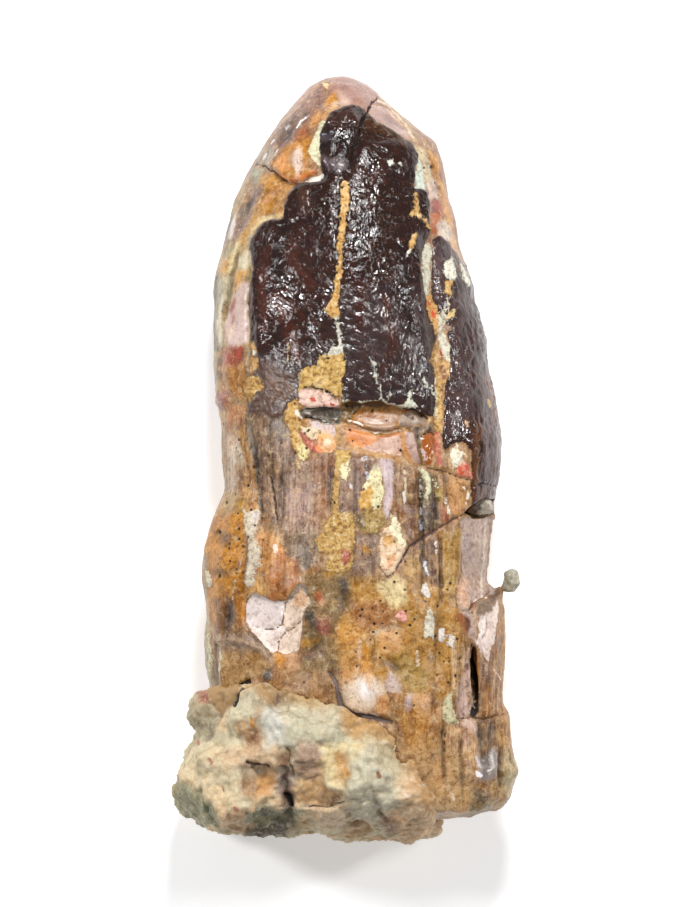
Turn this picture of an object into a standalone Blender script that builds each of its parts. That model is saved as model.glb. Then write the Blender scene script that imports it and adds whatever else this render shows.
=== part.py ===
"""Fossil sauropod tooth lying on its inner face, with mudstone on the broken root.

All lengths in the shape functions are millimetres; MM turns them into metres.
+X is across the tooth, +Y runs from the root to the worn tip, +Z is up, away from
the surface that the tooth lies on. The convex outer (labial) face looks up.
"""
import math

import bmesh
import bpy
import numpy as np
from mathutils import Vector, noise

MM = 0.001

# ---------------------------------------------------------------- driving sizes (mm)
TIP_Y = 52.6
ROOT_RIM_Y = -48.2
ROOT_END_Y = -50.4
RINGS = 300
SEGMENTS = 144
CAP_SHARE = 0.05

TOOTH_TRIANGLES = 6200
MATRIX_TRIANGLES = 2500

POCKET_GAP = 0.46
CHIP_GAP = 0.34
REST_FLAT_Z = 0.0

# height along the tooth, left edge, right edge
OUTLINE = (
    (52.6, -0.9, -0.1), (52.2, -3.1, 1.4), (51.2, -5.0, 3.3), (49.4, -6.5, 5.3),
    (46.6, -9.1, 9.0), (43.9, -11.0, 12.4), (41.1, -12.7, 13.5), (38.4, -14.1, 13.9),
    (35.6, -15.3, 14.5), (32.9, -16.1, 15.3), (28.7, -17.2, 16.3), (24.6, -18.0, 17.4),
    (20.5, -18.1, 18.6), (16.4, -18.1, 19.6), (12.2, -18.1, 20.0), (8.1, -17.6, 20.9),
    (4.0, -17.0, 21.3), (0.0, -16.9, 21.2), (-4.3, -16.4, 20.5), (-6.0, -17.2, 20.2),
    (-8.4, -18.3, 20.3), (-12.5, -19.3, 20.1), (-16.4, -19.6, 19.6), (-17.2, -19.5, 19.4),
    (-17.9, -19.3, 21.0), (-20.8, -19.2, 21.9), (-24.9, -19.5, 22.0), (-29.0, -19.2, 21.8),
    (-33.1, -18.6, 21.1), (-34.4, -18.5, 21.4), (-35.0, -18.5, 22.4), (-38.0, -18.3, 22.7),
    (-41.4, -18.1, 23.2), (-42.8, -17.9, 24.4), (-44.4, -17.6, 23.0), (-46.4, -17.4, 22.7),
    (-48.2, -17.0, 20.8),
)

# height along the tooth, outer face, widest level, inner face
DEPTH = (
    (52.6, 7.6, 6.9, 6.2), (52.2, 9.8, 6.8, 4.9), (51.2, 11.7, 6.6, 3.4),
    (49.4, 13.6, 6.4, 1.9), (46.6, 15.8, 6.4, 0.7), (43.9, 17.4, 6.7, 0.1),
    (41.1, 18.6, 7.2, -0.15), (36.0, 20.4, 8.1, -0.2), (31.0, 22.0, 9.1, -0.1),
    (26.0, 23.3, 10.2, 0.3), (20.5, 24.4, 11.3, 0.8), (14.0, 25.4, 12.3, 1.2),
    (8.0, 26.1, 13.0, 1.5), (0.0, 26.8, 13.8, 1.6), (-8.0, 27.3, 14.3, 1.5),
    (-16.0, 27.9, 14.8, 1.7), (-24.0, 28.0, 15.2, 2.2), (-32.0, 27.8, 15.5, 2.9),
    (-40.0, 27.0, 15.5, 3.5), (-48.2, 25.6, 15.2, 4.1),
)

OUTER_POWER = 2.05
INNER_POWER = 2.7
HOLLOW_CENTRE = (0.8, 12.0)
HOLLOW_SPREAD = (8.0, 13.0)
HOLLOW_DEPTH = 2.4
MEDIAN_RIDGE = 1.2

# features of the outer face, in (across, along) coordinates
ENAMEL_PLATE = (
    (-3.4, 48.0), (0.6, 48.4), (2.4, 43.0), (8.9, 43.2), (10.2, 38.0), (11.5, 36.6),
    (11.5, 30.0), (10.6, 20.0), (12.0, 8.0), (1.0, 8.0), (-4.0, 15.0), (-5.0, 20.0),
    (-12.0, 14.0), (-12.8, 24.0), (-13.0, 32.0), (-9.8, 33.4), (-7.0, 38.0),
    (-2.6, 37.8),
)
PLATE_RISE = 0.42
SIDE_GROOVE = ((11.0, 30.0), (11.7, 22.0), (12.8, 15.5), (13.0, 9.0), (12.4, 3.5))
SIDE_GROOVE_DEPTH = 0.95
SIDE_LOBE = ((14.8, 24.0), (16.8, 15.0), (17.6, 6.0), (17.4, -3.0))
SIDE_LOBE_RISE = 0.7
ROOT_FOLDS = (
    ((-6.2, 4.0), (-6.6, -6.0), (-7.2, -16.0)),
    ((-1.6, 1.0), (-2.2, -8.0), (-3.0, -18.0)),
    ((5.6, 0.0), (6.2, -8.0), (5.4, -13.0)),
    ((9.6, -1.0), (9.8, -8.0), (9.2, -15.0)),
    ((-11.2, 0.0), (-11.4, -7.0), (-10.4, -15.0)),
)
ROOT_FOLD_DEPTH = 0.45
ROOT_BULGE = (-15.2, -13.5, 4.5, 8.0, 1.1)
FLAKE_SCAR = ((-13.2, -18.4), (-6.6, -18.6), (-6.4, -22.5), (-8.6, -26.6), (-11.2, -25.6),
              (-13.4, -21.6))
FLAKE_SCAR_DEPTH = 0.55
SMOOTH_PANEL = ((16.4, -7.8), (20.6, -7.8), (20.4, -18.6), (17.2, -19.4), (15.8, -14.0))
SMOOTH_PANEL_DEPTH = 0.5
CURVED_FISSURE = ((-2.2, -31.8), (-0.6, -34.4), (2.4, -35.4), (6.2, -35.6))
CROSS_CRACK = ((16.8, -34.8), (19.6, -34.9), (22.6, -34.5))
TIP_CRACK = ((4.0, 50.0), (2.6, 47.2), (1.4, 43.6), (0.4, 38.6))
TIP_LIP = ((-12.6, 40.4), (-10.0, 38.4), (-7.2, 37.6), (-3.0, 38.8))

# chip recess under the enamel plate, side notch, splinter crevice
CHIP_TOP_Y = 7.7
CHIP_BOTTOM_Y = 0.2
CHIP_LEFT_X = -6.0
CHIP_RIGHT_X = 11.6
CHIP_DEPTH = 1.7
NOTCH = ((15.9, -7.5), (17.1, -6.3), (18.1, -5.4), (19.3, -5.2), (25.0, -5.7),
         (25.0, -7.7), (19.6, -7.8), (17.6, -7.9))
CREVICE = ((17.9, -24.0), (17.7, -29.0), (18.1, -34.4))
CREVICE_WIDTH = 1.3
CREVICE_DEPTH = 5.2

# mudstone: height along the tooth, left edge, right edge, top, bottom
MATRIX_SECTIONS = (
    (-27.2, -10.0, 0.0, 27.6, 8.0), (-29.5, -16.6, 4.0, 28.4, 5.0),
    (-31.5, -18.8, 10.0, 28.9, 2.4), (-34.0, -18.8, 12.0, 29.2, 0.6),
    (-37.0, -19.8, 13.0, 29.4, -0.4), (-40.0, -21.4, 13.6, 29.4, -0.8),
    (-43.0, -22.7, 14.0, 29.3, -0.9), (-46.0, -24.0, 14.2, 29.0, -0.9),
    (-48.6, -24.0, 14.0, 28.4, -0.8), (-50.4, -23.2, 13.6, 27.0, -0.6),
    (-51.5, -20.0, 12.6, 24.0, 1.0), (-52.2, -10.0, 11.0, 18.0, 6.0),
)
MATRIX_BACK_EDGE = (
    (-30.0, -20.0), (-30.0, -33.4), (-21.0, -34.2), (-17.4, -35.6), (-13.6, -37.2),
    (-10.2, -36.6), (-6.4, -38.4), (-2.6, -38.0), (1.6, -39.2), (5.2, -38.6),
    (9.0, -40.4), (12.0, -39.4), (30.0, -41.0), (30.0, -20.0),
)
# where the lump broke: a point on each break and the way it faces
MATRIX_BREAKS = (
    ((-21.6, -48.9, 14.0), (-0.66, -0.72, 0.2)),
    ((-8.0, -50.2, 25.0), (0.05, -0.86, 0.5)),
    ((-21.2, -44.0, 25.4), (-0.72, -0.12, 0.68)),
    ((-2.0, -51.4, 4.6), (0.1, -0.72, -0.68)),
    ((-22.4, -43.0, 6.0), (-0.78, 0.1, -0.62)),
    ((12.6, -49.0, 20.0), (0.84, -0.5, 0.22)),
    ((11.6, -44.0, 3.0), (0.7, 0.0, -0.71)),
    ((-12.0, -50.95, 14.0), (-0.1, -0.99, -0.06)),
)
MATRIX_BRINK = (
    (-26.0, -24.0), (-26.0, -31.2), (-16.0, -31.2), (-14.6, -30.4), (-11.4, -30.4),
    (-6.4, -31.8), (-1.2, -33.0), (4.6, -35.8), (8.4, -38.8), (11.4, -41.6),
    (12.9, -46.6), (13.4, -54.0), (30.0, -54.0), (30.0, -24.0),
)
NODULE = (-18.9, -34.6, 19.0, 3.0, 3.2, 3.6)
MATRIX_LUMPS = (
    (-15.5, -43.8, 27.6, 6.4, 5.0, 4.0), (-6.6, -38.4, 29.0, 6.2, 4.8, 3.0),
    (1.6, -42.6, 28.6, 5.2, 4.6, 3.4), (7.6, -47.4, 25.6, 5.4, 4.6, 5.0),
    (-20.0, -47.0, 17.0, 4.0, 4.2, 9.0), (-12.6, -35.2, 28.0, 4.0, 3.0, 2.8),
    (-3.0, -47.8, 26.0, 5.6, 3.8, 3.6), (8.6, -49.9, 18.6, 3.4, 2.6, 6.0),
)
MATRIX_BAYS = (
    (-4.6, -53.6, 20.0, 3.4, 3.2, 16.0), (-22.6, -38.2, 24.0, 2.4, 1.2, 9.0),
    (-14.4, -54.2, 13.0, 6.0, 3.0, 12.0),
)

NOTCH_CHIP = (18.5, -6.6, 17.4)
NOTCH_CHIP_RADII = (1.9, 1.35, 2.6)
CRUMB = (22.75, -16.6, 16.4)
CRUMB_RADII = (1.1, 1.6, 1.1)

OBJECT_NAME = "fossil_sauropod_tooth"

STONES = {
    "tooth": ("fossil_tooth", (0.33, 0.2, 0.12), 0.42),
    "matrix": ("mudstone", (0.55, 0.5, 0.39), 0.85),
    "notch_chip": ("tooth_chip", (0.45, 0.38, 0.32), 0.6),
    "crumb": ("mudstone_crumb", (0.4, 0.38, 0.3), 0.85),
}


# ---------------------------------------------------------------- helpers
def clear_scene():
    """Remove whatever the session opened with."""
    for old in list(bpy.data.objects):
        bpy.data.objects.remove(old, do_unlink=True)


def collection(name):
    """A collection linked to the scene."""
    group = bpy.data.collections.new(name)
    bpy.context.scene.collection.children.link(group)
    return group


def new_object(name, bm, group):
    """Turn a bmesh into an object in a collection."""
    mesh = bpy.data.meshes.new(name)
    bm.to_mesh(mesh)
    bm.free()
    item = bpy.data.objects.new(name, mesh)
    group.objects.link(item)
    return item


def cutter(name, bm, group):
    """An object that only cuts or joins others."""
    item = new_object(name, bm, group)
    item.hide_render = True
    item.display_type = "WIRE"
    return item


def apply_modifiers(item):
    """Bake the modifier stack into the object's mesh."""
    graph = bpy.context.evaluated_depsgraph_get()
    baked = bpy.data.meshes.new_from_object(item.evaluated_get(graph))
    item.modifiers.clear()
    item.data = baked


def boolean(item, other, operation):
    """Cut, join or intersect with another object."""
    step = item.modifiers.new(operation.lower(), "BOOLEAN")
    step.operation = operation
    step.solver = "EXACT"
    step.object = other
    apply_modifiers(item)


def decimate(item, triangles):
    """Bring a mesh down to about this many triangles."""
    bm = bmesh.new()
    bm.from_mesh(item.data)
    bmesh.ops.triangulate(bm, faces=bm.faces[:])
    count = len(bm.faces)
    bm.to_mesh(item.data)
    bm.free()
    step = item.modifiers.new("fewer", "DECIMATE")
    step.ratio = min(1.0, triangles / count)
    apply_modifiers(item)


def remesh(item, voxel):
    """Even out a joined body with a voxel remesh."""
    step = item.modifiers.new("even", "REMESH")
    step.mode = "VOXEL"
    step.voxel_size = voxel * MM
    apply_modifiers(item)


def keep_largest(item):
    """Drop loose islands and make the rest face outward."""
    bm = bmesh.new()
    bm.from_mesh(item.data)
    bmesh.ops.remove_doubles(bm, verts=bm.verts[:], dist=0.000001)
    seen = set()
    islands = []
    for seed in bm.verts:
        if seed in seen:
            continue
        island = []
        queue = [seed]
        seen.add(seed)
        while queue:
            vert = queue.pop()
            island.append(vert)
            for edge in vert.link_edges:
                other = edge.other_vert(vert)
                if other not in seen:
                    seen.add(other)
                    queue.append(other)
        islands.append(island)
    islands.sort(key=len, reverse=True)
    spare = [vert for island in islands[1:] for vert in island]
    bmesh.ops.delete(bm, geom=spare, context="VERTS")
    bmesh.ops.triangulate(bm, faces=bm.faces[:])
    bmesh.ops.recalc_face_normals(bm, faces=bm.faces[:])
    bm.to_mesh(item.data)
    bm.free()


def smoothstep(low, high, value):
    """0 below low, 1 above high, with soft ends."""
    share = np.clip((value - low) / (high - low), 0.0, 1.0)
    return share * share * (3.0 - 2.0 * share)


def profile(rows, column, y):
    """Read one column of a section table, eased between its rows."""
    table = np.array(rows)[::-1]
    spread = np.array([-0.6, -0.3, 0.0, 0.3, 0.6])
    weight = np.array([0.12, 0.23, 0.3, 0.23, 0.12])
    near = smoothstep(0.0, 4.0, TIP_Y - y)
    total = np.zeros_like(y)
    for shift, share in zip(spread, weight):
        total += share * np.interp(y + shift * near, table[:, 0], table[:, column])
    return total


def stroke_distance(points, x, y):
    """Distance from each (x, y) to an open line."""
    best = np.full(x.shape, 1e9)
    for (ax, ay), (bx, by) in zip(points[:-1], points[1:]):
        dx, dy = bx - ax, by - ay
        share = np.clip(((x - ax) * dx + (y - ay) * dy) / (dx * dx + dy * dy), 0.0, 1.0)
        best = np.minimum(best, np.hypot(x - ax - share * dx, y - ay - share * dy))
    return best


def inside_distance(points, x, y):
    """Signed distance to a closed outline, positive inside."""
    ring = tuple(points) + (points[0],)
    odd = np.zeros(x.shape, dtype=bool)
    for (ax, ay), (bx, by) in zip(ring[:-1], ring[1:]):
        if ay == by:
            continue
        crosses = (ay > y) != (by > y)
        odd ^= crosses & (x < ax + (bx - ax) * (y - ay) / (by - ay))
    distance = stroke_distance(ring, x, y)
    return np.where(odd, distance, -distance)


def rough(points, scale, octaves, seed):
    """Fractal noise at each point, about -1 to 1."""
    offset = Vector((seed * 7.3, seed * 3.1, seed * 5.7))
    return np.array([
        noise.fractal(Vector(point) / scale + offset, 1.0, 2.0, octaves) for point in points
    ])


def ellipsoid(centre, radii, detail):
    """An icosphere stretched to radii, in metres."""
    bm = bmesh.new()
    bmesh.ops.create_icosphere(bm, subdivisions=detail, radius=1.0)
    bmesh.ops.scale(bm, vec=Vector(radii) * MM, verts=bm.verts[:])
    bmesh.ops.translate(bm, vec=Vector(centre) * MM, verts=bm.verts[:])
    return bm


def prism(outline, low, high):
    """An outline drawn across and along the tooth, raised from low to high."""
    bm = bmesh.new()
    ring = [bm.verts.new((x * MM, y * MM, low * MM)) for x, y in outline]
    base = bm.faces.new(ring)
    raised = bmesh.ops.extrude_face_region(bm, geom=[base])
    top = [part for part in raised["geom"] if isinstance(part, bmesh.types.BMVert)]
    bmesh.ops.translate(bm, vec=(0.0, 0.0, (high - low) * MM), verts=top)
    bmesh.ops.triangulate(bm, faces=bm.faces[:])
    bmesh.ops.recalc_face_normals(bm, faces=bm.faces[:])
    return bm


# ---------------------------------------------------------------- tooth
def section_point(y, angle, scale):
    """Surface point of the plain tooth at a height and an angle round it."""
    left = profile(OUTLINE, 1, y)
    right = profile(OUTLINE, 2, y)
    outer = profile(DEPTH, 1, y)
    level = profile(DEPTH, 2, y)
    inner = profile(DEPTH, 3, y)
    across = np.cos(angle)
    up = np.sin(angle)
    power = np.where(up > 0.0, OUTER_POWER, INNER_POWER)
    x_share = np.sign(across) * np.abs(across) ** (2.0 / power)
    z_share = np.sign(up) * np.abs(up) ** (2.0 / power)
    centre = 0.5 * (left + right)
    x = centre + scale * 0.5 * (right - left) * x_share
    reach = np.where(up > 0.0, outer - level, level - inner)
    z = level + scale * reach * z_share
    back = smoothstep(0.0, 0.6, -up) * scale
    bowl = np.exp(-((x - HOLLOW_CENTRE[0]) / HOLLOW_SPREAD[0]) ** 2)
    bowl *= np.exp(-((y - HOLLOW_CENTRE[1]) / HOLLOW_SPREAD[1]) ** 2)
    ridge = np.exp(-((x - 0.8) / 2.6) ** 2) * np.exp(-((y - 14.0) / 12.0) ** 2)
    z = z + back * (HOLLOW_DEPTH * bowl - MEDIAN_RIDGE * ridge)
    return x, z


def tooth_relief(x, y, front):
    """Ridges, grooves and ledges on the tooth, along its surface normal."""
    rise = np.zeros_like(x)
    rise += PLATE_RISE * smoothstep(-0.35, 0.35, inside_distance(ENAMEL_PLATE, x, y))
    groove = stroke_distance(SIDE_GROOVE, x, y)
    rise -= SIDE_GROOVE_DEPTH * np.exp(-(groove / 1.15) ** 2)
    lobe = stroke_distance(SIDE_LOBE, x, y)
    rise += SIDE_LOBE_RISE * np.exp(-(lobe / 2.6) ** 2)
    for fold in ROOT_FOLDS:
        rise -= ROOT_FOLD_DEPTH * np.exp(-(stroke_distance(fold, x, y) / 0.9) ** 2)
    bx, by, wide, tall, swell = ROOT_BULGE
    rise += swell * np.exp(-((x - bx) / wide) ** 2 - ((y - by) / tall) ** 2)
    scar = inside_distance(FLAKE_SCAR, x, y)
    rise -= FLAKE_SCAR_DEPTH * smoothstep(-0.3, 0.4, scar)
    panel = inside_distance(SMOOTH_PANEL, x, y)
    rise -= SMOOTH_PANEL_DEPTH * smoothstep(-0.3, 0.4, panel)
    rise -= 0.7 * np.exp(-(stroke_distance(CURVED_FISSURE, x, y) / 0.6) ** 2)
    rise -= 0.8 * np.exp(-(stroke_distance(CROSS_CRACK, x, y) / 0.6) ** 2)
    rise -= 0.45 * np.exp(-(stroke_distance(TIP_CRACK, x, y) / 0.5) ** 2)
    rise -= 0.5 * np.exp(-(stroke_distance(TIP_LIP, x, y) / 0.7) ** 2)
    return rise * front


def build_tooth(group, cutters):
    """Crown and root as one body."""
    bm = bmesh.new()
    bmesh.ops.create_uvsphere(bm, u_segments=SEGMENTS, v_segments=RINGS, radius=1.0)
    ball = np.array([vert.co[:] for vert in bm.verts])
    share = np.arccos(np.clip(ball[:, 2], -1.0, 1.0)) / math.pi
    angle = np.arctan2(ball[:, 1], ball[:, 0])
    body = np.clip(share / (1.0 - CAP_SHARE), 0.0, 1.0)
    along = 0.62 * body + 0.38 * (1.0 - np.cos(body * math.pi / 2.0))
    y = TIP_Y + (ROOT_RIM_Y - TIP_Y) * along
    cap = np.clip((share - (1.0 - CAP_SHARE)) / CAP_SHARE, 0.0, 1.0)
    scale = np.sqrt(1.0 - cap ** 2)
    scale = np.where(cap >= 1.0, 0.0, scale)
    x, z = section_point(y, angle, scale)
    y = y + (ROOT_END_Y - ROOT_RIM_Y) * smoothstep(0.0, 1.0, 1.0 - scale) * (cap > 0.0)
    points = np.column_stack((x, y, z))
    for vert, point in zip(bm.verts, points):
        vert.co = Vector(point)
    bmesh.ops.recalc_face_normals(bm, faces=bm.faces[:])
    bm.normal_update()
    normals = np.array([vert.normal[:] for vert in bm.verts])
    front = smoothstep(0.02, 0.4, normals[:, 2])
    rise = tooth_relief(x, y, front)
    root = smoothstep(6.0, -10.0, y)
    flutes = rough(points * np.array((1.0, 0.16, 1.0)), 2.4, 3, 1)
    rise += flutes * (0.1 + 0.24 * root)
    swells = rough(points, 9.0, 2, 2)
    rise += swells * (0.2 + 0.25 * root) * smoothstep(0.0, 8.0, TIP_Y - y)
    end = smoothstep(-45.5, -48.0, y)
    rise += end * 0.7 * rough(points, 2.6, 3, 3)
    points = points + normals * rise[:, None]
    points[:, 2] = np.maximum(points[:, 2], REST_FLAT_Z)
    for vert, point in zip(bm.verts, points):
        vert.co = Vector(point) * MM
    tooth = new_object("tooth", bm, group)
    remesh(tooth, 0.48)
    for shape in (chip_recess(), prism(NOTCH, 13.0, 34.0), splinter_crevice()):
        tool = cutter("tooth_cut", shape, cutters)
        boolean(tooth, tool, "DIFFERENCE")
    keep_largest(tooth)
    decimate(tooth, TOOTH_TRIANGLES)
    press_flat(tooth, 0.1)
    keep_largest(tooth)
    return tooth


def face_height(x, y):
    """Height of the plain outer face above a spot."""
    spot_y = np.array([y])
    left = profile(OUTLINE, 1, spot_y)[0]
    right = profile(OUTLINE, 2, spot_y)[0]
    outer = profile(DEPTH, 1, spot_y)[0]
    level = profile(DEPTH, 2, spot_y)[0]
    share = abs(x - 0.5 * (left + right)) / (0.5 * (right - left))
    share = min(share, 1.0)
    return level + (outer - level) * (1.0 - share ** OUTER_POWER) ** (1.0 / OUTER_POWER)


def chip_recess():
    """A lens-shaped spall: steep under the enamel's edge, shallow towards the root."""
    bm = bmesh.new()
    bmesh.ops.create_cube(bm, size=1.0)
    bmesh.ops.subdivide_edges(bm, edges=bm.edges[:], cuts=9, use_grid_fill=True)
    for vert in bm.verts:
        u, v, w = vert.co
        x = CHIP_LEFT_X + (u + 0.5) * (CHIP_RIGHT_X - CHIP_LEFT_X)
        bow = 1.0 - (2.0 * u) ** 2
        tall = 0.45 + 0.55 * bow
        middle = 0.5 * (CHIP_TOP_Y + CHIP_BOTTOM_Y) + 0.4 * u
        y = middle + v * tall * (CHIP_TOP_Y - CHIP_BOTTOM_Y)
        floor = face_height(x, y) - CHIP_DEPTH * (0.25 + 0.75 * bow) * (0.62 + 0.76 * v)
        z = floor if w < -0.4 else face_height(x, y) + 3.0 * (w + 0.5)
        vert.co = Vector((x, y, z)) * MM
    bmesh.ops.recalc_face_normals(bm, faces=bm.faces[:])
    return bm


def splinter_crevice():
    """A deep slot that parts the splinter from the root."""
    bm = bmesh.new()
    bmesh.ops.create_cube(bm, size=1.0)
    bmesh.ops.subdivide_edges(bm, edges=bm.edges[:], cuts=7, use_grid_fill=True)
    heights = np.array([row[1] for row in CREVICE])[::-1]
    middles = np.array([row[0] for row in CREVICE])[::-1]
    for vert in bm.verts:
        u, v, w = vert.co
        y = heights[0] + (v + 0.5) * (heights[-1] - heights[0])
        middle = float(np.interp(y, heights, middles))
        bow = 1.0 - 0.75 * (2.0 * v) ** 2
        x = middle + u * CREVICE_WIDTH * bow * (0.6 + 0.4 * (w + 0.5)) - 1.0 * (0.5 - w)
        z = face_height(middle, y) + 2.0 - (CREVICE_DEPTH + 2.0) * (0.5 - w) * (0.5 + 0.5 * bow)
        vert.co = Vector((x, y, z)) * MM
    bmesh.ops.recalc_face_normals(bm, faces=bm.faces[:])
    return bm


# ---------------------------------------------------------------- mudstone
def build_matrix(group, cutters, tooth):
    """The lump of mudstone that holds the broken end of the root."""
    bm = bmesh.new()
    bmesh.ops.create_uvsphere(bm, u_segments=96, v_segments=72, radius=1.0)
    rows = np.array(MATRIX_SECTIONS)[::-1]
    for vert in bm.verts:
        share = math.acos(max(-1.0, min(1.0, vert.co.z))) / math.pi
        angle = math.atan2(vert.co.y, vert.co.x)
        y = rows[-1, 0] + (rows[0, 0] - rows[-1, 0]) * (0.5 - 0.5 * math.cos(share * math.pi))
        left = float(np.interp(y, rows[:, 0], rows[:, 1]))
        right = float(np.interp(y, rows[:, 0], rows[:, 2]))
        top = float(np.interp(y, rows[:, 0], rows[:, 3]))
        low = float(np.interp(y, rows[:, 0], rows[:, 4]))
        close = min(1.0, math.sin(math.pi * share) / 0.1)
        across = math.copysign(abs(math.cos(angle)) ** 0.62, math.cos(angle))
        up = math.copysign(abs(math.sin(angle)) ** 0.62, math.sin(angle))
        x = 0.5 * (left + right) + 0.5 * (right - left) * across * close
        z = 0.5 * (top + low) + 0.5 * (top - low) * up * close
        vert.co = Vector((x, y, z)) * MM
    bmesh.ops.recalc_face_normals(bm, faces=bm.faces[:])
    matrix = new_object("matrix", bm, group)
    for row in MATRIX_LUMPS + (NODULE,):
        lump = cutter("matrix_lump", ellipsoid(row[:3], row[3:], 4), cutters)
        boolean(matrix, lump, "UNION")
    for point, facing in MATRIX_BREAKS:
        break_off(matrix, point, facing)
    for row in MATRIX_BAYS:
        bay = cutter("matrix_bay", ellipsoid(row[:3], row[3:], 4), cutters)
        boolean(matrix, bay, "DIFFERENCE")
    remesh(matrix, 0.55)
    roughen_matrix(matrix)
    brink = cutter("matrix_brink", prism(MATRIX_BRINK, 8.0, 40.0), cutters)
    boolean(matrix, brink, "DIFFERENCE")
    back = prism(MATRIX_BACK_EDGE, -5.0, 9.0)
    boolean(matrix, cutter("matrix_back", back, cutters), "DIFFERENCE")
    press_flat(matrix, REST_FLAT_Z)
    remesh(matrix, 0.5)
    boolean(matrix, tooth_pocket(cutters, tooth), "DIFFERENCE")
    remesh(matrix, 0.45)
    keep_largest(matrix)
    press_flat(matrix, 0.2)
    decimate(matrix, MATRIX_TRIANGLES)
    press_flat(matrix, 0.12)
    keep_largest(matrix)
    return matrix


def break_off(item, point, facing):
    """Part the stone along a plane and close the break."""
    bm = bmesh.new()
    bm.from_mesh(item.data)
    everything = bm.verts[:] + bm.edges[:] + bm.faces[:]
    cut = bmesh.ops.bisect_plane(
        bm, geom=everything, plane_co=Vector(point) * MM, plane_no=Vector(facing),
        clear_outer=True,
    )
    rim = [part for part in cut["geom_cut"] if isinstance(part, bmesh.types.BMEdge)]
    bmesh.ops.holes_fill(bm, edges=rim, sides=0)
    bmesh.ops.triangulate(bm, faces=bm.faces[:])
    bmesh.ops.recalc_face_normals(bm, faces=bm.faces[:])
    bm.to_mesh(item.data)
    bm.free()


def press_flat(item, level):
    """Bring everything below a level down or up to the resting plane."""
    for vert in item.data.vertices:
        if vert.co.z < level * MM:
            vert.co.z = REST_FLAT_Z * MM


def roughen_matrix(matrix):
    """Lumps and facets of broken mudstone."""
    bm = bmesh.new()
    bm.from_mesh(matrix.data)
    bm.normal_update()
    points = np.array([vert.co[:] for vert in bm.verts]) / MM
    normals = np.array([vert.normal[:] for vert in bm.verts])
    rise = 0.75 * rough(points, 5.0, 4, 11) + 0.3 * rough(points, 1.9, 3, 12)
    facets = np.array([noise.voronoi(Vector(point) / 5.5)[0][0] for point in points])
    rise += 0.9 * (0.45 - facets)
    for vert, push, normal in zip(bm.verts, rise, normals):
        vert.co += Vector(normal) * float(push) * MM
    bm.to_mesh(matrix.data)
    bm.free()


def tooth_pocket(cutters, tooth):
    """The tooth's form with a little more all round, to cut its seat in the mudstone."""
    bm = bmesh.new()
    bm.from_mesh(tooth.data)
    bm.normal_update()
    for vert in bm.verts:
        vert.co += vert.normal * POCKET_GAP * MM
    pocket = cutter("tooth_pocket", bm, cutters)
    remesh(pocket, 0.5)
    return pocket


# ---------------------------------------------------------------- small stones
def build_stone(name, centre, radii, seed, group):
    """A small broken piece of stone."""
    bm = ellipsoid(centre, radii, 3)
    middle = Vector(centre) * MM
    for vert in bm.verts:
        spot = vert.co / MM
        push = 1.0 + 0.2 * noise.fractal(spot * 0.9 + Vector((seed, 0.0, 0.0)), 1.0, 2.0, 3)
        vert.co = middle + (vert.co - middle) * push
    stone = new_object(name, bm, group)
    decimate(stone, 220)
    keep_largest(stone)
    return stone


def build_notch_chip(group, cutters, tooth):
    """The loose chip that is cemented in the side notch."""
    chip = build_stone("notch_chip", NOTCH_CHIP, NOTCH_CHIP_RADII, 4.0, group)
    bm = bmesh.new()
    bm.from_mesh(tooth.data)
    bm.normal_update()
    for vert in bm.verts:
        vert.co += vert.normal * CHIP_GAP * MM
    swollen = cutter("chip_seat", bm, cutters)
    boolean(chip, swollen, "DIFFERENCE")
    keep_largest(chip)
    return chip


def dress(item):
    """Give a piece its own material."""
    name, colour, rough_value = STONES[item.name]
    material = bpy.data.materials.new(name)
    material.use_nodes = True
    shader = material.node_tree.nodes["Principled BSDF"]
    shader.inputs["Base Color"].default_value = (*colour, 1.0)
    shader.inputs["Roughness"].default_value = rough_value
    shader.inputs["Metallic"].default_value = 0.0
    item.data.materials.clear()
    item.data.materials.append(material)


def main():
    """Build every piece."""
    clear_scene()
    group = collection(OBJECT_NAME)
    cutters = collection("cutters")
    tooth = build_tooth(group, cutters)
    matrix = build_matrix(group, cutters, tooth)
    chip = build_notch_chip(group, cutters, tooth)
    crumb = build_stone("crumb", CRUMB, CRUMB_RADII, 9.0, group)
    for item in (tooth, matrix, chip, crumb):
        dress(item)


main()
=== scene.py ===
"""Dresses the fossil sauropod tooth, its mudstone, its chip and its crumb.

Lengths inside the classes are millimetres; MM turns them into metres. +X is across the
tooth, +Y runs from the broken root to the worn tip, and +Z is up, out of the convex outer
face. Patches and strokes of colour are set out on a marking-out sheet laid over the tooth:
one square of it is SHEET_SQUARE wide, counted right and down from the sheet's top corner.
"""
import itertools
import logging
import math
from dataclasses import dataclass
from enum import Enum
from functools import partial
from typing import Any, ClassVar

import bpy
import numpy as np
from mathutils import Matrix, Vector


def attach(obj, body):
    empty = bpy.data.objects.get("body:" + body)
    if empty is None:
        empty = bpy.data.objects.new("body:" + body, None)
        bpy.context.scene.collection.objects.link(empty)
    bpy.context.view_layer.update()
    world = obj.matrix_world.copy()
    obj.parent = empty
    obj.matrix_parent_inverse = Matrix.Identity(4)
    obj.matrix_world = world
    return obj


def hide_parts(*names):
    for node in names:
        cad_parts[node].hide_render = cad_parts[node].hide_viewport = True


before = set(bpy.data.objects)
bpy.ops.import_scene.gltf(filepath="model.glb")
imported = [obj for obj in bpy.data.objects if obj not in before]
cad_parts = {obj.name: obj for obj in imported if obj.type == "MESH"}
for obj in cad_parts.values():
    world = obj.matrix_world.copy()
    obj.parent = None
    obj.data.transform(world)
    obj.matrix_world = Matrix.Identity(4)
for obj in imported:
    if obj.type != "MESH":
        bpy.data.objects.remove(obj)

LOG = logging.getLogger("fossil_tooth")
MM = 0.001
SHEET_SQUARE = 0.1375
SHEET_MIDDLE = (345.5, 459.0)  # squares from the sheet's corner to the tooth's middle
FAR = 3.0  # millimetres from a mark at which its distance is no longer worked out
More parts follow.
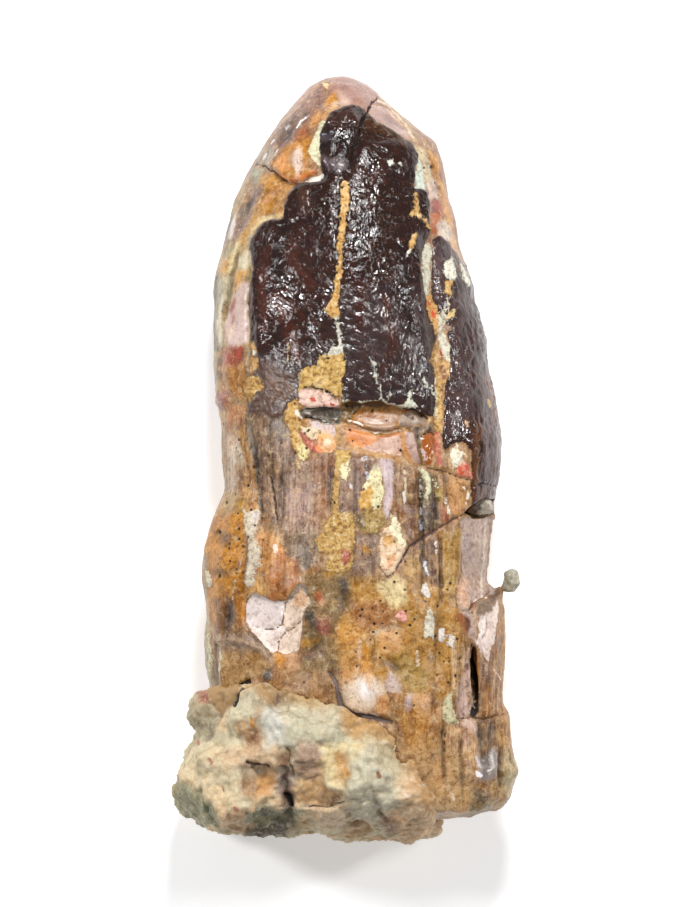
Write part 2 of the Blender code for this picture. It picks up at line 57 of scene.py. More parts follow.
X, Y, Z = 0, 1, 2
LATTICE = 256  # cells after which the noise repeats
SCATTER = 4096  # cells after which scattered seeds repeat
SCATTER_STEPS = (73, 1259, 311)
SHRINK, SWELL = 0.5, -0.52  # the second pass undoes the first one's loss of size
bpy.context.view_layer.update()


# ------------------------------------------------------------------ small tools
def to_linear(code: str) -> tuple[float, float, float]:
    """Turns an sRGB hex colour into linear light.

    Args:
        code: Six hex digits, with or without a leading hash.

    Returns:
        Red, green and blue, 0 to 1, linear.
    """
    digits = code.lstrip("#")
    parts = [int(digits[i:i + 2], 16) / 255.0 for i in (0, 2, 4)]
    return tuple(p / 12.92 if p <= 0.04045 else ((p + 0.055) / 1.055) ** 2.4 for p in parts)


def rgba(code: str) -> tuple[float, float, float, float]:
    """Returns a hex colour as linear red, green, blue and full alpha."""
    return (*to_linear(code), 1.0)


def ease(value: np.ndarray, low: float, high: float) -> np.ndarray:
    """Rises smoothly from 0 at low to 1 at high.

    Args:
        value: Numbers to ease.
        low: Where the result is 0.
        high: Where the result is 1; it may be below low.

    Returns:
        Numbers from 0 to 1.
    """
    t = np.clip((value - low) / (high - low), 0.0, 1.0)
    return t * t * (3.0 - 2.0 * t)


def flat_paint(code: str, gloss: float) -> np.ndarray:
    """Returns one row of linear red, green, blue and gloss."""
    return np.array([(*to_linear(code), gloss)])


def in_cells(spots: np.ndarray, wide: float, long: float) -> np.ndarray:
    """Counts points in cells that are so wide and deep, and so long along the tooth."""
    return spots / (wide, long, wide)


def off_sheet(points: tuple[float, ...]) -> np.ndarray:
    """Turns points of the marking-out sheet into millimetres.

    Args:
        points: Right, down, right, down and so on, in squares of the sheet.

    Returns:
        One row for each point: across and along the tooth.
    """
    grid = np.reshape(points, (-1, 2)).astype(float)
    return np.column_stack(((grid[:, 0] - SHEET_MIDDLE[0]) * SHEET_SQUARE,
                            (SHEET_MIDDLE[1] - grid[:, 1]) * SHEET_SQUARE))


class Noise:
    """Seeded gradient noise over many points at once."""

    def __init__(self, seed: int) -> None:
        """Fills the lattice's tables.

        Args:
            seed: Which noise.
        """
        rng = np.random.default_rng(seed)
        self.table = rng.permutation(LATTICE)
        arrows = rng.normal(size=(LATTICE, 3))
        self.arrows = arrows / np.linalg.norm(arrows, axis=1)[:, None]

    def __call__(self, spots: np.ndarray) -> np.ndarray:
        """Works the noise out.

        Args:
            spots: Points, in cells.

        Returns:
            Noise from about -0.8 to 0.8.
        """
        base = np.floor(spots).astype(int)
        part = spots - base
        fade = part ** 3 * (part * (part * 6.0 - 15.0) + 10.0)
        total = np.zeros(len(spots))
        for corner in itertools.product((0, 1), repeat=3):
            i, j, k = ((base[:, a] + corner[a]) % LATTICE for a in range(3))
            pick = self.table[(self.table[(self.table[i] + j) % LATTICE] + k) % LATTICE]
            pull = np.einsum("ij,ij->i", self.arrows[pick], part - corner)
            share = np.ones(len(spots))
            for a in range(3):
                share *= fade[:, a] if corner[a] else 1.0 - fade[:, a]
            total += share * pull
        return total * 1.6

    def layered(self, spots: np.ndarray, layers: int = 3, fall: float = 0.5) -> np.ndarray:
        """Adds up finer and weaker layers of noise.

        Args:
            spots: Points, in cells of the coarsest layer.
            layers: How many layers.
            fall: How much weaker each finer layer is.

        Returns:
            Noise of about -1 to 1.
        """
        total, height = np.zeros(len(spots)), 1.0
        for layer in range(layers):
            total += height * self(spots * 2.0 ** layer + 17.3 * layer)
            height *= fall
        return total

    def ridged(self, spots: np.ndarray) -> np.ndarray:
        """Returns 0 to 1, with sharp crests where the noise changes sign."""
        return np.clip(1.0 - np.abs(self(spots)) * 2.6, 0.0, 1.0)


def cells(spots: np.ndarray, seed: int) -> tuple[np.ndarray, np.ndarray, np.ndarray]:
    """Scattered seeds, one in each unit cube.

    Args:
        spots: Points, in cubes.
        seed: Which scatter.

    Returns:
        Distance to the nearest seed, the margin to the second nearest, and a number from
        0 to 1 that is the same all over each seed's cell.
    """
    rng = np.random.default_rng(seed)
    shift = rng.random((SCATTER, 4))
    base = np.floor(spots).astype(int)
    first = np.full(len(spots), np.inf)
    second = np.full(len(spots), np.inf)
    tag = np.zeros(len(spots))
    for step in itertools.product((-1, 0, 1), repeat=3):
        cube = base + step
        pick = (cube @ SCATTER_STEPS) % SCATTER
        gap = np.linalg.norm(cube + shift[pick, :3] - spots, axis=1)
        nearer = gap < first
        second = np.where(nearer, first, np.minimum(second, gap))
        tag = np.where(nearer, shift[pick, 3], tag)
        first = np.where(nearer, gap, first)
    return first, second - first, tag


# ------------------------------------------------------------------ marks on the sheet
@dataclass(frozen=True)
class Mark:
    """One patch or stroke on the marking-out sheet.

    The points are in squares of the sheet, right, down, right, down and so on. A width of
    0 makes them a closed patch, and any other width makes them a stroke that many squares
    wide, which a taper thins towards its ends. The edge is soft over that many
    millimetres to each side.
    """

    name: str
    colour: str
    width: float
    soft: float
    points: tuple[float, ...]
    strength: float = 1.0
    gloss: float = 0.4
    taper: float = 0.0

    def reach(self, plan: np.ndarray) -> np.ndarray:
        """Signed distance from the mark's edge.

        Args:
            plan: Points across and along the tooth, in millimetres.

        Returns:
            Millimetres, above 0 inside the mark, no less than -FAR outside.
        """
        line = off_sheet(self.points)
        half = self.width * SHEET_SQUARE / 2.0
        length = 0.0
        total = max(float(np.hypot(*np.diff(line, axis=0).T).sum()), 1e-6)
        margin = FAR + half
        near = np.all((plan > line.min(0) - margin) & (plan < line.max(0) + margin), axis=1)
        out = np.full(len(plan), -FAR)
        spots = plan[near]
        if not len(spots):
            return out
        gap = np.full(len(spots), np.inf)
        inside = np.zeros(len(spots), bool)
        ends = np.roll(line, -1, axis=0) if self.width == 0 else line[1:]
        for a, b in zip(line, ends):
            run = b - a
            share = np.clip((spots - a) @ run / max(run @ run, 1e-9), 0.0, 1.0)
            off = np.hypot(*(spots - a - share[:, None] * run).T)
            if self.taper:
                along = (length + share * np.hypot(*run)) / total
                off += half * self.taper * np.abs(2.0 * along - 1.0) ** 1.5
                length += float(np.hypot(*run))
            gap = np.minimum(gap, off)
            if self.width == 0 and a[1] != b[1]:
                level = (spots[:, 1] - a[1]) / (b[1] - a[1])
                crossed = ((a[1] > spots[:, 1]) != (b[1] > spots[:, 1]))
                inside ^= crossed & (spots[:, 0] < a[0] + level * run[0])
        found = np.where(inside, gap, -gap) if self.width == 0 else half - gap
        out[near] = np.maximum(found, -FAR)
        return out

    def inside(self, plan: np.ndarray) -> np.ndarray:
        """Returns 1 inside the mark and 0 outside, easing over its soft edge."""
        return ease(self.reach(plan), -self.soft, self.soft)


def lay(name: str, colour: str, width: float, points: tuple[float, ...],
        gloss: float = 0.4, taper: float = 0.0) -> Mark:
    """Returns a mark with a hard edge."""
    return Mark(name, colour, width, 0.0, points, 1.0, gloss, taper)


def fleck(colour: str, width: float, points: tuple[float, ...], gloss: float = 0.4,
          taper: float = 0.0) -> Mark:
    """Returns a small hard-edged mark that needs no name."""
    return lay("fleck", colour, width, points, gloss, taper)


def fold(name: str, width: float, soft: float, height: float, taper: float,
         points: tuple[float, ...]) -> Mark:
    """Returns a raised fold, or a furrow where its height in millimetres is below 0."""
    return Mark(name, "", width, soft, points, height, taper=taper)


def zone(soft: float, level: float, points: tuple[float, ...]) -> Mark:
    """Returns an area where a number comes to a level."""
    return Mark("", "", 0.0, soft, points, level)


def airbrush(base: np.ndarray, marks: tuple[Mark, ...], plan: np.ndarray,
             cover: np.ndarray) -> np.ndarray:
    """Sprays soft-edged marks over a colour, one after another.

    Args:
        base: Red, green, blue and gloss at each point.
        marks: The marks, the lowest first.
        plan: Points across and along the tooth, in millimetres.
        cover: How far each point takes the colour, 0 to 1.

    Returns:
        The new red, green, blue and gloss.
    """
    out = base.copy()
    for mark in marks:
        share = mark.inside(plan) * mark.strength * cover
        new = np.array((*to_linear(mark.colour), mark.gloss))
        out += share[:, None] * (new - out)
    return out


def lay_crisp(marks: tuple[Mark, ...], plan: np.ndarray,
              cover: np.ndarray) -> tuple[np.ndarray, np.ndarray]:
    """Lays marks with hard edges, whose colour runs on a little past each edge.

    Args:
        marks: The marks, the lowest first.
        plan: Points across and along the tooth, in millimetres.
        cover: How far each point takes the marks, 0 to 1.

    Returns:
        Red, green, blue and gloss at each point, and the signed distance from the nearest
        edge in millimetres, above 0 inside a mark.
    """
    paint = np.zeros((len(plan), 4))
    edge = np.full(len(plan), -FAR)
    for mark in marks:
        reach = mark.reach(plan)
        take = (reach > 0.0) | (reach > edge)
        paint[take] = (*to_linear(mark.colour), mark.gloss)
        edge = np.maximum(edge, reach)
    return paint, edge - (1.0 - cover) * FAR


def zone_level(base: float, marks: tuple[Mark, ...], plan: np.ndarray) -> np.ndarray:
    """Sets a level over the plan.

    Args:
        base: The level outside all marks.
        marks: Each sets its strength as the level inside it, the lowest first.
        plan: Points across and along the tooth, in millimetres.

    Returns:
        The level at each point.
    """
    out = np.full(len(plan), base)
    for mark in marks:
        out += mark.inside(plan) * (mark.strength - out)
    return out


# ------------------------------------------------------------------ mesh work
@dataclass
class Blank:
    """A fine, even copy of a CAD solid, ready to be carved.

    Args:
        node: The CAD node that it copies.
        name: The new piece's name.
        voxel: Size of its cells in millimetres.
        passes: How many smoothing passes take the flat facets away.
        triangles: Most triangles that it may keep.
        under_share: How much of the underside's detail stays when it is thinned.
    """

    node: str
    name: str
    voxel: float
    passes: int
    triangles: int
    under_share: float = 0.35

    def pick_only(self, obj: bpy.types.Object) -> None:
        """Selects one object alone.

        Args:
            obj: The object that operators are to act on.
        """
        bpy.ops.object.select_all(action="DESELECT")
        obj.select_set(True)
        bpy.context.view_layer.objects.active = obj

    def modify(self, obj: bpy.types.Object, kind: str, **settings: Any) -> None:
        """Adds one modifier and applies it.

        Args:
            obj: The object to change.
            kind: The modifier's type.
            **settings: Its properties.
        """
        self.pick_only(obj)
        modifier = obj.modifiers.new(kind.lower(), kind)
        for key, value in settings.items():
            setattr(modifier, key, value)
        bpy.ops.object.modifier_apply(modifier=modifier.name)

    def make(self) -> bpy.types.Object:
        """Copies the solid and evens its mesh.

        Returns:
            The new object, at the origin.
        """
        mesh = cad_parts[self.node].data.copy()
        mesh.name = self.name
        mesh.materials.clear()
        obj = bpy.data.objects.new(self.name, mesh)
        bpy.context.scene.collection.objects.link(obj)
        self.pick_only(obj)
        bpy.ops.object.mode_set(mode="EDIT")
        bpy.ops.mesh.select_all(action="SELECT")
        bpy.ops.mesh.remove_doubles(threshold=1e-6)
        bpy.ops.object.mode_set(mode="OBJECT")
        self.modify(obj, "REMESH", mode="VOXEL", voxel_size=self.voxel * MM)
        self.relax(obj)
        return obj

    def relax(self, obj: bpy.types.Object) -> None:
        """Smooths small facets away without shrinking the tip and the splinter.

        Args:
            obj: The even mesh.
        """
        places = vertex_places(obj)
        pairs = np.empty(len(obj.data.edges) * 2, int)
        obj.data.edges.foreach_get("vertices", pairs)
        ends = np.concatenate((pairs[0::2], pairs[1::2]))
        others = np.concatenate((pairs[1::2], pairs[0::2]))
        count = np.bincount(ends, minlength=len(places))[:, None]
        for factor in (SHRINK, SWELL) * self.passes:
            middle = np.column_stack([np.bincount(ends, places[others, axis], len(places))
                                      for axis in range(3)]) / count
            places = places + factor * (middle - places)
        move_vertices(obj, places)

    def thin(self, obj: bpy.types.Object) -> None:
        """Collapses faces, the underside's first, and keeps the mesh off the floor.

        Args:
            obj: The carved mesh.
        """
        normals = vertex_normals(obj)
        under = np.flatnonzero(normals[:, 2] < -0.05)
        share = len(under) / len(normals)
        total = triangle_count(obj)
        if total > self.triangles:
            group = obj.vertex_groups.new(name="underside")
            group.add(under.tolist(), 1.0, "REPLACE")
            kept = max(1.0 - share * (1.0 - self.under_share), self.triangles / total)
            self.modify(obj, "DECIMATE", ratio=kept, vertex_group=group.name)
            obj.vertex_groups.clear()
            self.modify(obj, "DECIMATE",
                        ratio=min(self.triangles / triangle_count(obj), 1.0))
        places = vertex_places(obj)
        places[:, 2] = np.maximum(places[:, 2], 0.0)
        move_vertices(obj, places)


def triangle_count(obj: bpy.types.Object) -> int:
    """Returns how many triangles a mesh has."""
    return sum(len(p.vertices) - 2 for p in obj.data.polygons)


def fetched(rows: Any, name: str) -> np.ndarray:
    """Fetches one vector from each row of a mesh's data.

    Args:
        rows: The vertices or their normals.
        name: The vector's name.

    Returns:
        One row of three numbers for each.
    """
    flat = np.empty(len(rows) * 3)
    rows.foreach_get(name, flat)
    return flat.reshape(-1, 3)


def vertex_places(obj: bpy.types.Object) -> np.ndarray:
    """Returns every vertex's place in millimetres."""
    return fetched(obj.data.vertices, "co") / MM


def vertex_normals(obj: bpy.types.Object) -> np.ndarray:
    """Returns every vertex's outward normal."""
    return fetched(obj.data.vertex_normals, "vector")


def move_vertices(obj: bpy.types.Object, places: np.ndarray) -> None:
    """Puts every vertex at its new place, given in millimetres."""
    obj.data.vertices.foreach_set("co", (places * MM).ravel())
    obj.data.update()


def drawn_out(spots: np.ndarray, start: tuple[float, float, float],
              end: tuple[float, float, float], reach: float) -> np.ndarray:
    """Draws the points around one place out towards another.

    Args:
        spots: Points in millimetres.
        start: The place that moves furthest.
        end: Where it moves to.
        reach: How far from the start points still move, in millimetres.

    Returns:
        The moved points.
    """
    near = ease(np.linalg.norm(spots - np.array(start), axis=1), reach, 0.0)
    return spots + near[:, None] * (np.array(end) - np.array(start))


def keep_numbers(obj: bpy.types.Object, **numbers: np.ndarray) -> None:
    """Stores numbers at the vertices for the material to read.

    Args:
        obj: The piece.
        **numbers: One number for each vertex, by name.
    """
    for name, values in numbers.items():
        layer = obj.data.attributes.new(name, "FLOAT", "POINT")
        layer.data.foreach_set("value", values.astype(np.float32))


def keep_colours(obj: bpy.types.Object, **colours: np.ndarray) -> None:
    """Stores colours at the vertices for the material to read.

    Args:
        obj: The piece.
        **colours: Red, green, blue and gloss for each vertex, by name.
    """
    for name, values in colours.items():
        layer = obj.data.attributes.new(name, "FLOAT_COLOR", "POINT")
        layer.data.foreach_set("color", values.astype(np.float32).ravel())


def dress(obj: bpy.types.Object, material: bpy.types.Material) -> None:
    """Smooths the shading of every face and gives the piece its material.

    Args:
        obj: The piece.
        material: Its finish.
    """
    obj.data.polygons.foreach_set("use_smooth", np.ones(len(obj.data.polygons), bool))
    obj.data.update()
    obj.data.materials.append(material)


def add_node(tree: bpy.types.NodeTree, kind: str,
             inputs: dict[Any, Any] | tuple[Any, ...] = (), take: int | str = 0,
             **settings: Any) -> bpy.types.NodeSocket | None:
    """Adds one node to a material.

    Args:
        tree: The material's node tree.
        kind: The node's type, without its ShaderNode start.
        inputs: A value, or the socket that feeds it, for each input: in their order, or
            by name or number.
        take: Which output to hand back, by name or number.
        **settings: Properties of the node.

    Returns:
        That output's socket, or None where the node has none.
    """
    node = tree.nodes.new("ShaderNode" + kind)
    node.location = (190.0 * (len(tree.nodes) % 14), -230.0 * (len(tree.nodes) // 14))
    for key, value in settings.items():
        setattr(node, key, value)
    fed = inputs if isinstance(inputs, dict) else dict(enumerate(inputs))
    for key, value in fed.items():
        if isinstance(value, bpy.types.NodeSocket):
            tree.links.new(value, node.inputs[key])
        else:
            node.inputs[key].default_value = value
    return node.outputs[take] if len(node.outputs) else None
# ------------------------------------------------------------------ the outer face's marks
ENAMEL_OUTLINES = (
    lay("crown plate", "2e170d", 0, (327, 117, 333, 112, 338, 111, 343, 108, 351, 105, 357, 106,
        362, 109, 368, 113, 376, 122, 384, 125, 392, 130, 400, 136, 410, 142, 415, 150, 418, 157,
        417, 164, 414, 168, 415, 176, 413, 188, 422, 190, 427, 194, 429, 206, 429, 218, 430, 231,
        425, 240, 421, 253, 420, 268, 422, 285, 424, 298, 427, 312, 431, 326, 435, 340, 430, 352,
        428, 362, 433, 372, 432, 384, 434, 400, 433, 417, 426, 416, 416, 411, 400, 407, 390, 404,
        378, 402, 364, 403, 352, 402, 342, 403, 342, 396, 334, 399, 320, 390, 304, 389, 300, 400,
        290, 404, 284, 416, 272, 418, 262, 412, 250, 414, 248, 404, 262, 396, 266, 386, 260, 376,
        259, 362, 257, 346, 250, 340, 251, 326, 249, 305, 251, 281, 254, 268, 252, 258, 250, 250,
        252, 240, 257, 233, 264, 223, 270, 221, 283, 221, 285, 208, 288, 199, 295, 187, 303, 184,
        321, 184, 326, 177, 322, 168, 320, 156, 319, 144, 321, 132, 325, 124)),
    lay("right lobe", "3b2722", 0, (432, 241, 438, 236, 449, 244, 458, 256, 466, 268, 476, 286,
        484, 306, 490, 330, 500, 360, 506, 400, 506, 504, 482, 498, 470, 503, 470, 478, 471, 452,
        462, 442, 450, 444, 443, 452, 441, 440, 443, 420, 444, 388, 449, 370, 449, 352, 447, 336,
        444, 322, 438, 314, 431, 300, 431, 268)),
)
ENAMEL_TINTS = (
    Mark("lilac lower plate", "322320", 0, 3.2, (262, 300, 440, 285, 440, 410,
        258, 410), gloss=0.28),
    Mark("browner left half", "34201a", 0, 2.6, (255, 240, 330, 230, 335, 350, 255, 350)),
    Mark("brown tip", "5c3c1d", 0, 0.7, (366, 116, 376, 121, 388, 127, 402, 137, 412, 146,
        404, 148, 390, 140, 374, 134, 364, 130), strength=0.9),
    Mark("brown block", "46302a", 0, 0.9, (332, 112, 360, 106, 362, 126, 326, 128)),
    Mark("black block", "19100f", 0, 0.8, (322, 134, 352, 132, 350, 158, 322, 158)),
    Mark("blue facet", "59565f", 0, 0.2, (322, 136, 334, 134, 331, 141, 326, 145,
        321, 142), strength=0.8),
    Mark("brown rib", "5a3f2c", 0, 0.7, (300, 192, 311, 190, 309, 216, 301, 210)),
    Mark("brown plate", "442a22", 0, 1, (354, 170, 384, 166, 386, 184, 356, 190)),
    Mark("brown plate low", "3b221b", 0, 1, (352, 192, 376, 190, 374, 214, 352, 214)),
    Mark("red streak", "552a1b", 6, 0.7, (268, 252, 263, 290, 266, 330)),
    Mark("red streak", "4f281c", 8, 0.8, (292, 246, 296, 268, 312, 286)),
    Mark("red streak", "5c2e1d", 9, 0.9, (276, 300, 290, 326, 296, 360)),
    Mark("red streak", "46241b", 8, 0.8, (352, 250, 362, 300, 358, 330)),
    Mark("red streak", "4c2a20", 7, 0.8, (385, 300, 392, 350, 380, 380)),
    Mark("slant hollow", "3f1d12", 4, 0.5, (300, 286, 316, 300, 334, 306)),
    Mark("slant hollow", "46210f", 4, 0.5, (284, 296, 298, 314, 318, 326)),
    Mark("black shade", "180f0d", 9, 1, (284, 232, 278, 262, 284, 282)),
    Mark("black shade", "180e0c", 9, 1, (364, 220, 356, 250, 360, 276)),
    Mark("black shade", "1a1110", 9, 1, (405, 250, 402, 300, 410, 330)),
    Mark("frosted break", "6b6063", 0, 0.25, (321, 156, 330, 160, 346, 161, 350, 168, 340, 175,
        328, 170), strength=0.85, gloss=0),
    Mark("worn corner", "685347", 0, 1.3, (252, 358, 276, 364, 296, 378, 298, 420,
        246, 424), gloss=0.02),
    Mark("grainy corner", "86705f", 0, 0.6, (270, 378, 288, 378, 294, 392, 284, 406,
        268, 402), strength=0.8, gloss=0.02),
    Mark("fine grey field", "3a3031", 0, 1.8, (352, 376, 430, 366, 430, 400, 350, 400)),
    Mark("lilac lobe top", "5a4a49", 0, 1.2, (430, 240, 446, 244, 448, 300, 440, 306,
        431, 290), gloss=0.3),
    Mark("brown brow", "6c4e3e", 0, 0.7, (448, 248, 458, 256, 468, 284, 458, 276)),
    Mark("grey lobe", "4b3a37", 0, 1.6, (450, 290, 470, 300, 472, 420, 446, 436), gloss=0.26),
    Mark("brown lobe side", "4a352c", 0, 1.4, (470, 300, 490, 340, 496, 400, 474, 400)),
    Mark("brown lobe foot", "4c2f22", 0, 1.2, (470, 420, 500, 400, 500, 506, 468, 506)),
    Mark("gold edge", "80583a", 6, 0.6, (486, 380, 492, 400, 494, 420)),
    Mark("gold streak", "6d4824", 6, 0.4, (476, 428, 475, 462, 473, 496)),
    Mark("dark streak", "301d13", 3, 0.3, (480, 440, 480, 476, 478, 496)),
    Mark("lilac streak", "705a5a", 5, 0.5, (486, 420, 486, 446, 484, 470)),
    Mark("dark streak", "34211a", 3, 0.3, (490, 430, 489, 470)),
    Mark("gold streak", "5f3f28", 4, 0.4, (495, 430, 494, 470)),
    Mark("lobe block", "5e3e2e", 0, 0.4, (471, 485, 494, 485, 493, 502, 470, 504)),
)
